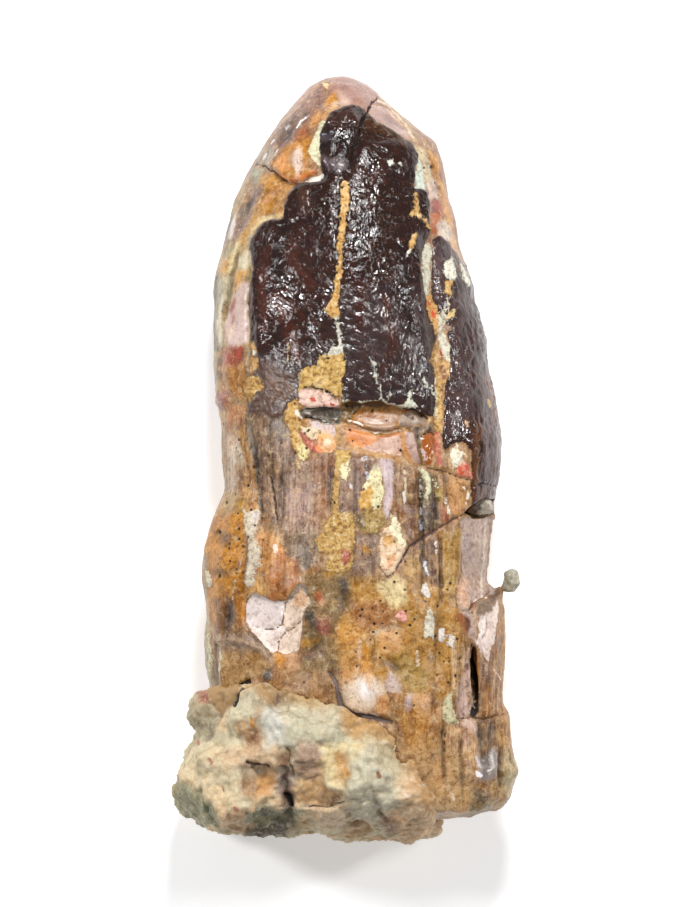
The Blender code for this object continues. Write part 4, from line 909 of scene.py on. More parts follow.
DEPOSITS = (
    # veins of ochre and cream in the crown
    lay("vein top", "d9ac68", 7.5, (345, 186, 345, 202, 344, 216), gloss=0.2),
    lay("vein middle", "d2a45c", 6.5, (344, 214, 342, 232, 340, 250), gloss=0.2),
    lay("vein neck", "c99b52", 4, (341, 248, 341, 262, 340, 272), gloss=0.2),
    lay("vein low", "d0a258", 6, (340, 270, 338, 286, 336, 300), gloss=0.2),
    lay("vein foot", "cb9c52", 0, (333, 298, 339, 302, 339, 320, 331, 320, 326, 310), gloss=0.2),
    lay("cream thread", "c9c8b8", 3, (336, 319, 339, 334, 341, 348)),
    lay("thread foot", "cfcfc2", 0, (328, 354, 338, 346, 343, 348, 344, 357, 330, 358)),
    lay("ochre blob", "cba458", 0, (321, 356, 344, 356, 345, 372, 343, 386, 342, 399, 336, 397,
        320, 388, 308, 388, 299, 392, 300, 378, 304, 369, 318, 366), gloss=0.2),
    lay("ochre tail", "cda258", 0, (290, 404, 299, 398, 300, 412, 302, 424, 300, 434, 304, 442,
        310, 450, 309, 459, 300, 460, 292, 440, 290, 428, 284, 420), gloss=0.2),
    lay("cream tail", "e6d596", 0, (299, 444, 306, 444, 310, 452, 309, 459, 303, 460,
        298, 452), gloss=0.2),
    lay("cream drop", "d8b87e", 2.4, (299, 460, 300, 468), gloss=0.2),
    lay("rose cream", "dfbcac", 0, (301, 390, 318, 390, 336, 399, 341, 405, 338, 410, 322, 409,
        304, 407, 299, 402)),
    lay("top sliver", "d3cfab", 0, (326, 120, 321, 122, 316, 134, 310, 146, 308, 154, 314, 163,
        320, 168, 320, 150, 321, 134), gloss=0.45),
    lay("bone wedge", "e0e0d5", 0, (296, 186, 306, 181, 318, 177, 326, 172, 325, 179, 321, 184,
        308, 184), gloss=0.45),
    lay("right sliver", "c6d1c3", 0, (418, 158, 422, 170, 424, 190, 414, 190, 414, 177,
        416, 168), gloss=0.45),
    lay("side ochre", "c79b56", 0, (412, 193, 416, 196, 418, 214, 426, 222, 432, 234, 428, 232,
        420, 221, 413, 219, 408, 219, 411, 211), gloss=0.2),
    lay("side spot", "d0a45a", 0, (411, 238, 415, 234, 416, 241, 412, 248, 409, 254,
        407, 248), gloss=0.2),
    lay("side spot foot", "dfd8c6", 2.6, (409, 252, 406, 258)),
    lay("groove cream", "d0ccb8", 0, (422, 249, 428, 243, 432, 252, 430, 264, 430, 276, 428, 297,
        424, 297, 422, 280, 421, 262)),
    lay("groove amber", "cf9c5a", 0, (425, 297, 430, 296, 435, 308, 439, 320, 438, 334, 433, 336,
        429, 324, 425, 312), gloss=0.25),
    lay("groove white", "d5d0bb", 0, (437, 318, 444, 311, 447, 322, 441, 329, 446, 338, 449, 350,
        449, 363, 443, 361, 439, 350, 437, 336)),
    lay("groove ochre", "c99e62", 0, (430, 352, 437, 346, 441, 356, 448, 364, 448, 378, 442, 387,
        433, 385, 431, 368), gloss=0.25),
    lay("groove clot", "9a6a42", 5, (440, 368, 444, 378), gloss=0.25),
    lay("groove foot", "d0a65e", 7, (437, 386, 438, 410, 437, 430), gloss=0.3),
    lay("groove pale", "e0d8b8", 2.6, (433, 380, 434, 400, 434, 418)),
    lay("lobe white", "dddccb", 0, (443, 268, 446, 262, 450, 258, 453, 266, 455, 276, 452, 282,
        446, 281, 442, 274)),
    lay("lobe ochre", "cca25c", 0, (444, 283, 451, 281, 449, 298, 444, 297), gloss=0.2),
    lay("lobe streak", "dedccb", 4, (459, 267, 463, 276, 466, 285)),
    lay("lobe cream", "d6cdb8", 2.6, (446, 300, 447, 310)),
    lay("groove arm", "dcbd80", 0, (447, 314, 455, 309, 452, 318, 446, 322)),
    lay("brown bead", "94705c", 5, (445, 327, 448, 330), gloss=0.5),
    lay("chalk", "c9c9bb", 2.2, (369, 358, 375, 368, 374, 378, 380, 387, 381, 400), taper=0.5),
    lay("chalk", "d8dac6", 0, (406, 396, 410, 389, 412, 390, 409, 398, 414, 404, 419, 410,
        408, 408, 400, 407, 404, 402)),
    lay("chalk", "d2d2c6", 2.2, (423, 380, 425, 390)),
    lay("chalk", "bfbeb0", 2, (390, 394, 386, 402)),
    lay("chalk", "d4d4ca", 2, (429, 388, 431, 396)),
    lay("chalk foot", "dcd6bc", 2.6, (343, 401, 352, 404, 364, 402, 380, 402, 392, 405,
        404, 408)),
    lay("chalk left", "b5a37e", 2.2, (292, 344, 289, 352, 289, 362)),
    lay("small chalk", "e6e6dc", 0, (386, 161, 392, 161, 394, 166, 388, 167)),
    lay("small chalk", "e0e0d2", 2.2, (399, 164, 401, 167)),
    # left margin crusts
    lay("crust knob", "c2985a", 0, (249, 343, 256, 344, 258, 352, 252, 358)),
    lay("crust stem", "bb8e4e", 0, (250, 357, 260, 358, 258, 370, 251, 375)),
    lay("crust patch", "c0964f", 0, (247, 380, 254, 377, 262, 380, 266, 388, 258, 393, 250, 402,
        246, 394), gloss=0.2),
    # the chipped band
    # grey stone, painted darker as the shade in the pocket under the enamel's brink
    lay("left pocket", "5d5347", 0, (299, 411, 305, 408, 315, 407, 325, 409, 337, 410, 342, 410,
        341, 424, 333, 425, 322, 423, 310, 419, 303, 418), gloss=0.6),
    lay("pocket light", "8d857c", 0, (311, 412, 322, 411, 322, 417, 312, 417), gloss=0.7),
    lay("left rose", "cbb6b2", 0, (308, 421, 320, 423, 335, 427, 337, 437, 328, 434, 322, 430,
        312, 427), gloss=0.6),
    lay("speckled cream", "e2cba8", 0, (303, 427, 312, 427, 323, 430, 319, 436, 318, 441,
        308, 438, 302, 432)),
    lay("peach bead", "dca068", 0, (319, 433, 326, 431, 335, 437, 337, 446, 333, 452, 321, 453,
        316, 448, 318, 441), gloss=0.6),
    lay("bead light", "eed4ae", 0, (323, 439, 330, 438, 332, 444, 328, 448, 323, 446), gloss=0.6),
    lay("red band", "b8654a", 0, (300, 432, 305, 433, 311, 439, 318, 443, 323, 453, 315, 453,
        308, 449, 304, 441)),
    lay("upper facet", "b98642", 0, (342, 411, 347, 404, 356, 402, 366, 404, 378, 402, 390, 405,
        399, 410, 398, 420, 392, 429, 384, 431, 374, 431, 362, 427, 350, 423,
        342, 421), gloss=0.75),
    lay("facet shade", "80662f", 0, (342, 411, 347, 404, 356, 402, 362, 405, 353, 414, 350, 420,
        342, 421), gloss=0.75),
    lay("facet brow", "94702f", 0, (362, 404, 378, 402, 392, 406, 386, 411, 372, 409,
        360, 412), gloss=0.75),
    lay("facet dusk", "b8946a", 0, (384, 410, 398, 410, 398, 420, 393, 428,
        388, 420), gloss=0.75),
    lay("facet rose", "cdb4a0", 0, (362, 424, 372, 419, 384, 418, 392, 420, 396, 428, 384, 431,
        372, 430), gloss=0.8),
    lay("facet brown", "9c5d28", 0, (399, 410, 410, 411, 412, 416, 402, 415), gloss=0.75),
    lay("facet grey", "9b8c7a", 0, (400, 415, 412, 411, 421, 415, 429, 420, 424, 424, 414, 425,
        404, 428, 399, 427), gloss=0.75),
    lay("peach facet", "d9ab80", 0, (344, 424, 356, 426, 368, 431, 376, 436, 366, 434, 354, 430,
        346, 430), gloss=0.7),
    lay("orange facet", "f0a050", 0, (346, 430, 354, 430, 366, 433, 376, 437, 378, 442, 374, 444,
        366, 446, 356, 447, 350, 445, 347, 440), gloss=0.7),
    lay("rose facet", "e2c6b8", 0, (374, 443, 382, 438, 392, 436, 399, 435, 400, 447, 401, 456,
        392, 454, 380, 451, 366, 449, 366, 447), gloss=0.7),
    lay("ridge light", "d9904a", 0, (377, 436, 388, 434, 402, 431, 399, 435, 388, 437,
        380, 439), gloss=0.7),
    lay("ochre rim facet", "dba764", 0, (401, 434, 406, 432, 406, 446, 414, 461, 411, 463,
        404, 456, 401, 446), gloss=0.7),
    lay("lilac facet", "d2bfbb", 0, (405, 431, 412, 434, 415, 439, 416, 450, 420, 464, 414, 463,
        409, 454, 406, 444), gloss=0.75),
    lay("bottom brink", "b07d40", 0, (350, 446, 362, 449, 374, 451, 386, 454, 398, 457, 404, 461,
        396, 461, 384, 458, 368, 455, 350, 451), gloss=0.6),
    lay("amber bead", "b36a2a", 0, (422, 438, 426, 434, 431, 433, 434, 440, 434, 449, 431, 462,
        427, 465, 424, 462, 421, 452), gloss=0.95),
    lay("red bead edge", "b85c42", 0, (434, 431, 438, 434, 438, 446, 441, 464, 436, 466,
        434, 450), gloss=0.6),
    lay("cream by crack", "e9e3cb", 0, (449, 449, 453, 446, 462, 452, 461, 460, 456, 468,
        452, 468, 450, 460)),
    lay("red by crack", "d27a62", 0, (456, 466, 461, 461, 470, 466, 471, 479, 462, 476,
        453, 474)),
    # upper root
    lay("ochre apron", "caa65c", 0, (336, 450, 350, 452, 349, 462, 342, 470, 335, 468)),
    lay("cream apron", "ece3b4", 0, (343, 464, 350, 460, 349, 470, 346, 479, 342, 478, 340, 470)),
    lay("ochre strip", "c29a54", 5.5, (337, 470, 336, 490, 335, 512)),
    lay("butter drop", "e9dfaf", 0, (362, 487, 367, 478, 373, 469, 379, 468, 381, 480, 384, 490,
        381, 501, 379, 508, 373, 508, 371, 500, 372, 490)),
    lay("ochre drop", "d2a24c", 0, (361, 492, 370, 485, 374, 490, 371, 507, 360, 507, 359, 500)),
    lay("ochre mat", "aa8b4c", 0, (362, 510, 372, 507, 383, 512, 386, 522, 378, 531, 372, 534,
        364, 530, 356, 526, 355, 515), gloss=0.2),
    lay("mat shade", "7c6442", 0, (356, 513, 364, 512, 366, 526, 362, 529, 356, 524), gloss=0.2),
    lay("olive ochre", "be9650", 0, (326, 518, 338, 512, 354, 512, 355, 540, 352, 566, 344, 571,
        326, 570, 328, 553, 318, 549, 316, 538, 324, 530), gloss=0.2),
    lay("rust spot", "a95a3c", 0, (341, 549, 346, 546, 351, 553, 348, 561, 343, 564)),
    lay("cream spot", "dcd8d0", 0, (401, 493, 404, 490, 406, 500, 403, 504), gloss=0.6),
    lay("cream rib line", "dfcba8", 1.8, (403, 470, 404, 488)),
    lay("green streak", "d6d5b0", 0, (418, 469, 424, 470, 430, 477, 429, 490, 427, 501, 424, 498,
        425, 484, 420, 475)),
    lay("grey streak", "b4b4a6", 1.6, (420, 480, 420, 498, 424, 506)),
    lay("blue streak", "a6a8b2", 2, (420, 508, 420, 528)),
    lay("blue streak", "8e8c90", 1.6, (425, 510, 425, 528)),
    lay("cream streak", "dcd2a4", 1.8, (433, 480, 437, 488)),
    lay("white line", "ece4d8", 2, (445, 498, 448, 513)),
    lay("white diagonal", "e9e0bb", 0, (390, 512, 395, 518, 400, 526, 401, 535, 406, 544,
        402, 547, 394, 538, 389, 528)),
    lay("peach diamond", "e4c6a4", 0, (380, 530, 389, 526, 396, 540, 405, 548, 404, 556, 398, 566,
        390, 575, 384, 572, 379, 560, 378, 546), gloss=0.3),
    lay("diamond ochre", "d3a462", 0, (382, 534, 392, 533, 396, 543, 384, 545), gloss=0.3),
    lay("diamond core", "d9a679", 0, (385, 554, 394, 552, 396, 562, 388, 568), gloss=0.3),
    lay("white tear", "dde0e6", 2.8, (424, 560, 427, 572), gloss=0.5),
    lay("white drop", "dedad2", 0, (425, 579, 428, 588, 429, 598, 426, 595, 421, 588), gloss=0.5),
    lay("white thread", "e2dad4", 2, (434, 540, 435, 553)),
    # left root
    lay("cream column", "cabda6", 0, (245, 508, 250, 512, 258, 508, 262, 515, 259, 526, 254, 536,
        262, 548, 262, 564, 256, 570, 257, 582, 250, 587, 244, 582, 248, 570, 250, 556, 248, 541,
        245, 526), gloss=0.35),
    lay("column lilac", "c9bcb6", 0, (253, 511, 260, 512, 259, 522, 253, 520), gloss=0.5),
    lay("pale spot", "d6cab0", 5, (209, 572, 210, 584)),
    lay("cream sliver", "d2b390", 2.4, (237, 580, 234, 597)),
    lay("white fleck", "f2dcc8", 4, (276, 545, 277, 550), gloss=0.6),
    lay("green flank", "c9c2a2", 3, (210, 634, 211, 668)),
    lay("green flank", "d2c3a2", 3.6, (222, 652, 222, 670)),
    # flake scar
    lay("scar rim", "8f7f74", 0, (285, 601, 292, 592, 298, 581, 306, 584, 312, 600, 309, 604,
        300, 590, 292, 600), gloss=0.5),
    lay("scar left", "dccdc8", 0, (253, 592, 257, 591, 268, 597, 276, 599, 286, 599, 284, 613,
        282, 622, 272, 628, 262, 626, 252, 627, 247, 619, 247, 604), gloss=0.65),
    lay("scar foot", "ebd9d0", 0, (251, 627, 262, 627, 274, 628, 283, 623, 288, 626, 280, 637,
        278, 648, 274, 651, 268, 646, 260, 636), gloss=0.6),
    lay("scar right", "e1cab6", 0, (286, 603, 294, 595, 301, 587, 309, 594, 310, 602, 304, 608,
        302, 632, 299, 648, 290, 651, 279, 650, 280, 638, 288, 628, 284, 622), gloss=0.6),
    lay("scar peach", "d9ae88", 0, (292, 599, 301, 587, 309, 594, 309, 602, 303, 606,
        292, 604), gloss=0.5),
    # middle and right of the root
    lay("rose spot", "e0998b", 0, (394, 612, 399, 608, 404, 609, 407, 617, 403, 621, 396, 616)),
    lay("chalk drip", "d8d2be", 0, (425, 607, 431, 608, 433, 620, 434, 640, 429, 634, 422, 637,
        423, 624)),
    lay("chalk pair", "dacfc6", 0, (437, 628, 443, 625, 444, 637, 439, 641)),
    lay("chalk pair", "d9cdc2", 0, (446, 632, 454, 634, 451, 649, 447, 642)),
    lay("chalk low", "dabe9a", 3.6, (416, 650, 417, 663)),
    lay("green wedge", "bfb68e", 0, (444, 690, 449, 688, 452, 702, 457, 719, 448, 722, 440, 716)),
    lay("smooth panel", "b2988a", 0, (459, 519, 468, 516, 484, 515, 490, 517, 500, 522, 500, 560,
        496, 590, 484, 594, 476, 598, 470, 606, 474, 614, 474, 640, 468, 634, 462, 612, 456, 602,
        457, 584, 463, 572, 463, 556, 461, 546, 462, 532), gloss=0.5),
    lay("panel peach", "cfa486", 0, (457, 586, 463, 574, 469, 578, 470, 604, 463, 608,
        457, 600), gloss=0.5),
    lay("panel lilac", "aa938b", 0, (464, 530, 472, 534, 474, 560, 466, 566), gloss=0.5),
    lay("panel stripe", "dcc4b0", 2, (487, 520, 486, 556, 482, 590), gloss=0.5),
    lay("panel umber", "a07e62", 3.4, (493, 522, 491, 556, 489, 588)),
    lay("panel ochre", "b3865a", 1.2, (478, 540, 478, 566, 476, 590), gloss=0.5),
    lay("brown facet", "b0703a", 0, (455, 611, 461, 611, 466, 614, 471, 618, 470, 625, 467, 632,
        463, 629, 460, 623, 456, 618), gloss=0.7),
    lay("brown facet dark", "7d4d26", 0, (463, 614, 471, 618, 470, 625, 467, 631,
        463, 625), gloss=0.7),
    lay("small brown facet", "8a5432", 0, (469, 607, 473, 599, 476, 601, 472, 612), gloss=0.6),
    lay("grey facet", "9a8978", 0, (476, 602, 480, 598, 489, 599, 493, 604, 491, 610, 484, 613,
        480, 617, 475, 612), gloss=0.7),
    lay("brown cap", "7d6450", 0, (487, 596, 494, 590, 500, 588, 500, 594, 494, 599,
        491, 603), gloss=0.7),
    lay("crystal shards", "e6d1c6", 0, (478, 617, 484, 613, 491, 611, 495, 600, 498, 600,
        497, 614, 495, 628, 494, 641, 490, 645, 487, 660, 483, 655, 480, 645, 474, 642,
        478, 630), gloss=0.62),
    lay("crystal white", "f0e4dc", 0, (478, 620, 484, 616, 484, 630, 479, 638), gloss=0.62),
)
FLECKS = (
    # painted glints: these pale strokes stand for highlights off the wrinkles near the tip
    fleck("f4ecec", 2.2, (296, 127, 303, 119, 309, 115), gloss=0.9),
    fleck("cbc0be", 1.8, (284, 128, 291, 124), gloss=0.9),
    fleck("d3cbc4", 1.8, (271, 142, 274, 138), gloss=0.9),
    fleck("dcd4cc", 1.8, (275, 154, 278, 149), gloss=0.9),
    fleck("c9c0b8", 1.6, (262, 160, 267, 152), gloss=0.9),
    fleck("f0c090", 5, (325, 83, 327, 85), gloss=0.7),
    fleck("d8bfa2", 1.4, (376, 99, 388, 104, 397, 113, 407, 125, 415, 141)),
    fleck("cfae98", 1, (372, 105, 386, 108, 398, 119, 409, 134)),
    fleck("8f8f98", 1.4, (322, 136, 329, 136, 333, 134), gloss=0.9),
    # painted glints in the frosted break
    fleck("cfc8cc", 1.6, (326, 164, 333, 168), gloss=0.9),
    fleck("b8aeb0", 1.6, (337, 163, 342, 167), gloss=0.9),
    fleck("c8502c", 3, (427, 302, 428, 306)),
    fleck("d4582e", 4, (431, 313, 433, 318)),
    fleck("b04a2c", 3, (441, 353, 442, 356)),
    fleck("b8472f", 3.8, (311, 400, 315, 401)),
    fleck("b85a42", 2.4, (324, 404, 325, 406)),
    fleck("a8503f", 3.4, (332, 405, 334, 406)),
    fleck("8e3f34", 4, (228, 354, 231, 361)),
    fleck("a03f30", 4, (240, 349, 239, 357)),
    fleck("c4502f", 3.6, (458, 468, 460, 473)),
    fleck("c04c34", 3, (465, 465, 466, 469)),
    fleck("9a4a3c", 3.4, (435, 203, 438, 208)),
    fleck("9a5848", 2.6, (302, 433, 306, 440)),
    fleck("f2a868", 4, (323, 436, 326, 436), gloss=0.7),
    fleck("e08858", 3, (317, 448, 322, 452)),
    fleck("e6e2d4", 2.4, (255, 352, 256, 354)),
    fleck("ead9c8", 2.2, (297, 411, 299, 415, 303, 419)),
    # painted glints in the left pocket and on the lip below it
    fleck("d0c8ba", 1, (305, 413, 312, 416), gloss=0.9),
    fleck("dcd8d0", 1.4, (322, 420, 328, 424), gloss=0.9),
    fleck("dcd8d0", 1.4, (331, 418, 336, 418), gloss=0.9),
    fleck("f4ece4", 2, (310, 425, 313, 425)),
    fleck("f4ecdc", 1.6, (348, 421, 356, 423, 362, 426)),
    # painted glint below the recess ridge
    fleck("f8f4ec", 1.8, (373, 433, 377, 433)),
    fleck("c8b49c", 1.2, (340, 437, 343, 440)),
    # painted lilac sheen and painted highlights on the amber bead
    fleck("c8b2aa", 2, (422, 450, 424, 459), gloss=0.9),
    fleck("f0c4a4", 1.4, (428, 458, 430, 452), gloss=0.9),
    fleck("e0a078", 1.6, (433, 450, 432, 460), gloss=0.9),
    fleck("f4ece0", 1.6, (421, 438, 422, 439), gloss=0.9),
    fleck("e4d2bc", 1.2, (453, 441, 457, 447)),
    fleck("e4d2bc", 1.2, (461, 452, 466, 458)),
    fleck("d8b08c", 2.4, (464, 421, 466, 427)),
    fleck("b08c54", 3, (485, 400, 488, 407)),
    # painted glints on the mauve field
    fleck("cfc6c6", 1.4, (350, 482, 351, 490), gloss=0.8),
    fleck("d0d0d4", 1.8, (361, 458, 361, 463), gloss=0.8),
    fleck("c4c6cc", 2, (366, 458, 366, 465), gloss=0.8),
    fleck("babec6", 2.4, (366, 470, 367, 478), gloss=0.8),
    fleck("ecdfd2", 1.4, (461, 486, 468, 492, 464, 504)),
    fleck("cdb4ae", 3, (477, 643, 480, 650)),
    fleck("e0c8b0", 1, (491, 664, 496, 672, 500, 679)),
    # painted glints on the splinter's sparkly top
    fleck("f0e4d8", 1.2, (475, 598, 477, 598), gloss=0.9),
    fleck("e8dcd0", 1.4, (482, 593, 485, 597), gloss=0.9),
    # painted glints on the foot of the root
    fleck("f4f0f4", 4, (475, 769, 479, 773), gloss=0.9),
    fleck("cabfc0", 3, (475, 754, 478, 764), gloss=0.9),
    fleck("b4aaa6", 3.4, (491, 752, 492, 764), gloss=0.9),
    fleck("c0b8b0", 1.4, (489, 772, 487, 768, 491, 766), gloss=0.9),
    fleck("f0dcc6", 1.8, (450, 789, 452, 796)),
    fleck("dcc496", 1.2, (502, 789, 508, 795, 513, 799)),
    fleck("b9825a", 2.8, (263, 618, 264, 619)),
    fleck("c9a684", 2.2, (270, 613, 272, 614)),
    fleck("f6efe9", 2, (283, 604, 282, 612), gloss=0.8),
    # painted glint by the silver hollow
    fleck("c8c0b4", 1.2, (270, 668, 273, 674), gloss=0.9),
    fleck("d0c8b6", 2.2, (300, 576, 303, 579)),
    fleck("b8b0a8", 2.4, (313, 585, 316, 588)),
    # painted highlight along the lip of the curved fissure
    fleck("cfbdba", 2, (350, 708, 364, 709, 378, 712)),
)
CRACKS = (
    lay("tip crack", "1c1410", 2.2, (377, 96, 372, 101, 368, 109, 364, 117, 360, 126, 358, 134,
        356, 142, 353, 153, 351, 163, 350, 170), taper=0.5),
    lay("left crack", "42301f", 1.4, (256, 163, 264, 166, 270, 170, 276, 174, 281, 179, 288, 182,
        296, 182), taper=0.6),
    lay("rib crack", "3a2c26", 0.9, (321, 190, 312, 194, 311, 208), taper=0.5),
    lay("block crack", "6b5852", 0.7, (330, 124, 344, 127, 357, 125), taper=0.7),
    lay("block crack", "6b5852", 0.7, (339, 138, 338, 148, 334, 158), taper=0.7),
    lay("brow crack", "54423c", 0.7, (374, 149, 384, 154), taper=0.7),
    lay("facet crack", "47381e", 1, (362, 405, 355, 411, 352, 417, 346, 421), taper=0.4),
    lay("ridge crack", "7c6656", 1.3, (343, 422, 352, 424, 362, 428, 374, 431, 384, 431, 392, 430,
        400, 428, 410, 428), taper=0.5),
    lay("pocket shade", "2c221a", 1.6, (300, 412, 306, 409, 322, 409, 338, 410), taper=0.5),
    lay("pocket line", "2f2820", 1.4, (306, 418, 318, 419, 330, 424), taper=0.6),
    lay("brink shade", "36231a", 1.5, (399, 409, 412, 411, 420, 415, 428, 419), taper=0.4),
    lay("bead arch", "46301e", 1.4, (421, 437, 425, 434, 430, 432, 434, 435), taper=0.4),
    lay("bead crack", "6b4d40", 1.2, (420, 466, 434, 469, 450, 474, 468, 480), taper=0.6),
    lay("lobe crack", "38261e", 0.9, (470, 485, 482, 483, 493, 485), taper=0.5),
    lay("long crack", "6a5053", 2.2, (466, 512, 454, 518, 440, 526, 432, 531, 424, 536, 416, 541,
        409, 545, 404, 553, 400, 561, 394, 570, 388, 576), taper=0.5),
    lay("crack branch", "7d6355", 0.9, (388, 576, 380, 566), taper=0.7),
    lay("bark crack", "3f2d22", 1.3, (271, 474, 274, 492, 276, 508, 278, 522), taper=0.6),
    lay("panel foot", "7a5c46", 0.9, (463, 610, 470, 608, 474, 600, 484, 594,
        491, 588), taper=0.4),
    lay("chip gap", "211a16", 1.6, (463, 513, 474, 515, 484, 514, 493, 515), taper=0.3),
    lay("shard line", "8a7468", 0.9, (485, 616, 486, 628, 482, 637), taper=0.6),
    lay("scar crack", "86706a", 1.1, (286, 601, 285, 612, 282, 622, 276, 626, 268, 628,
        258, 625), taper=0.6),
    lay("scar crack", "8f7868", 1.1, (303, 616, 295, 623, 288, 629, 281, 635,
        278, 649), taper=0.4),
    lay("curved fissure", "7c6c68", 5, (329, 669, 334, 675, 337, 684, 338, 694, 341, 703,
        348, 709, 357, 713, 370, 713, 380, 716, 390, 719), taper=0.6),
    lay("foot crevice", "20160f", 0, (233, 697, 238, 687, 244, 680, 251, 676, 252, 681, 244, 688,
        239, 698)),
    lay("gap", "1a110d", 0, (470, 643, 472, 656, 475, 668, 476, 684, 478, 700, 479, 711, 473, 715,
        470, 711, 472, 696, 471, 680, 470, 666, 468, 656)),
    lay("cross crack", "5a4330", 1.3, (458, 716, 470, 714, 484, 716, 500, 713), taper=0.5),
    lay("hollow", "1b120c", 0, (248, 678, 241, 680, 236, 686, 232, 692, 236, 694, 240, 689,
        244, 684)),
    lay("foot line", "5f4630", 1.2, (445, 730, 444, 750), taper=0.6),
)
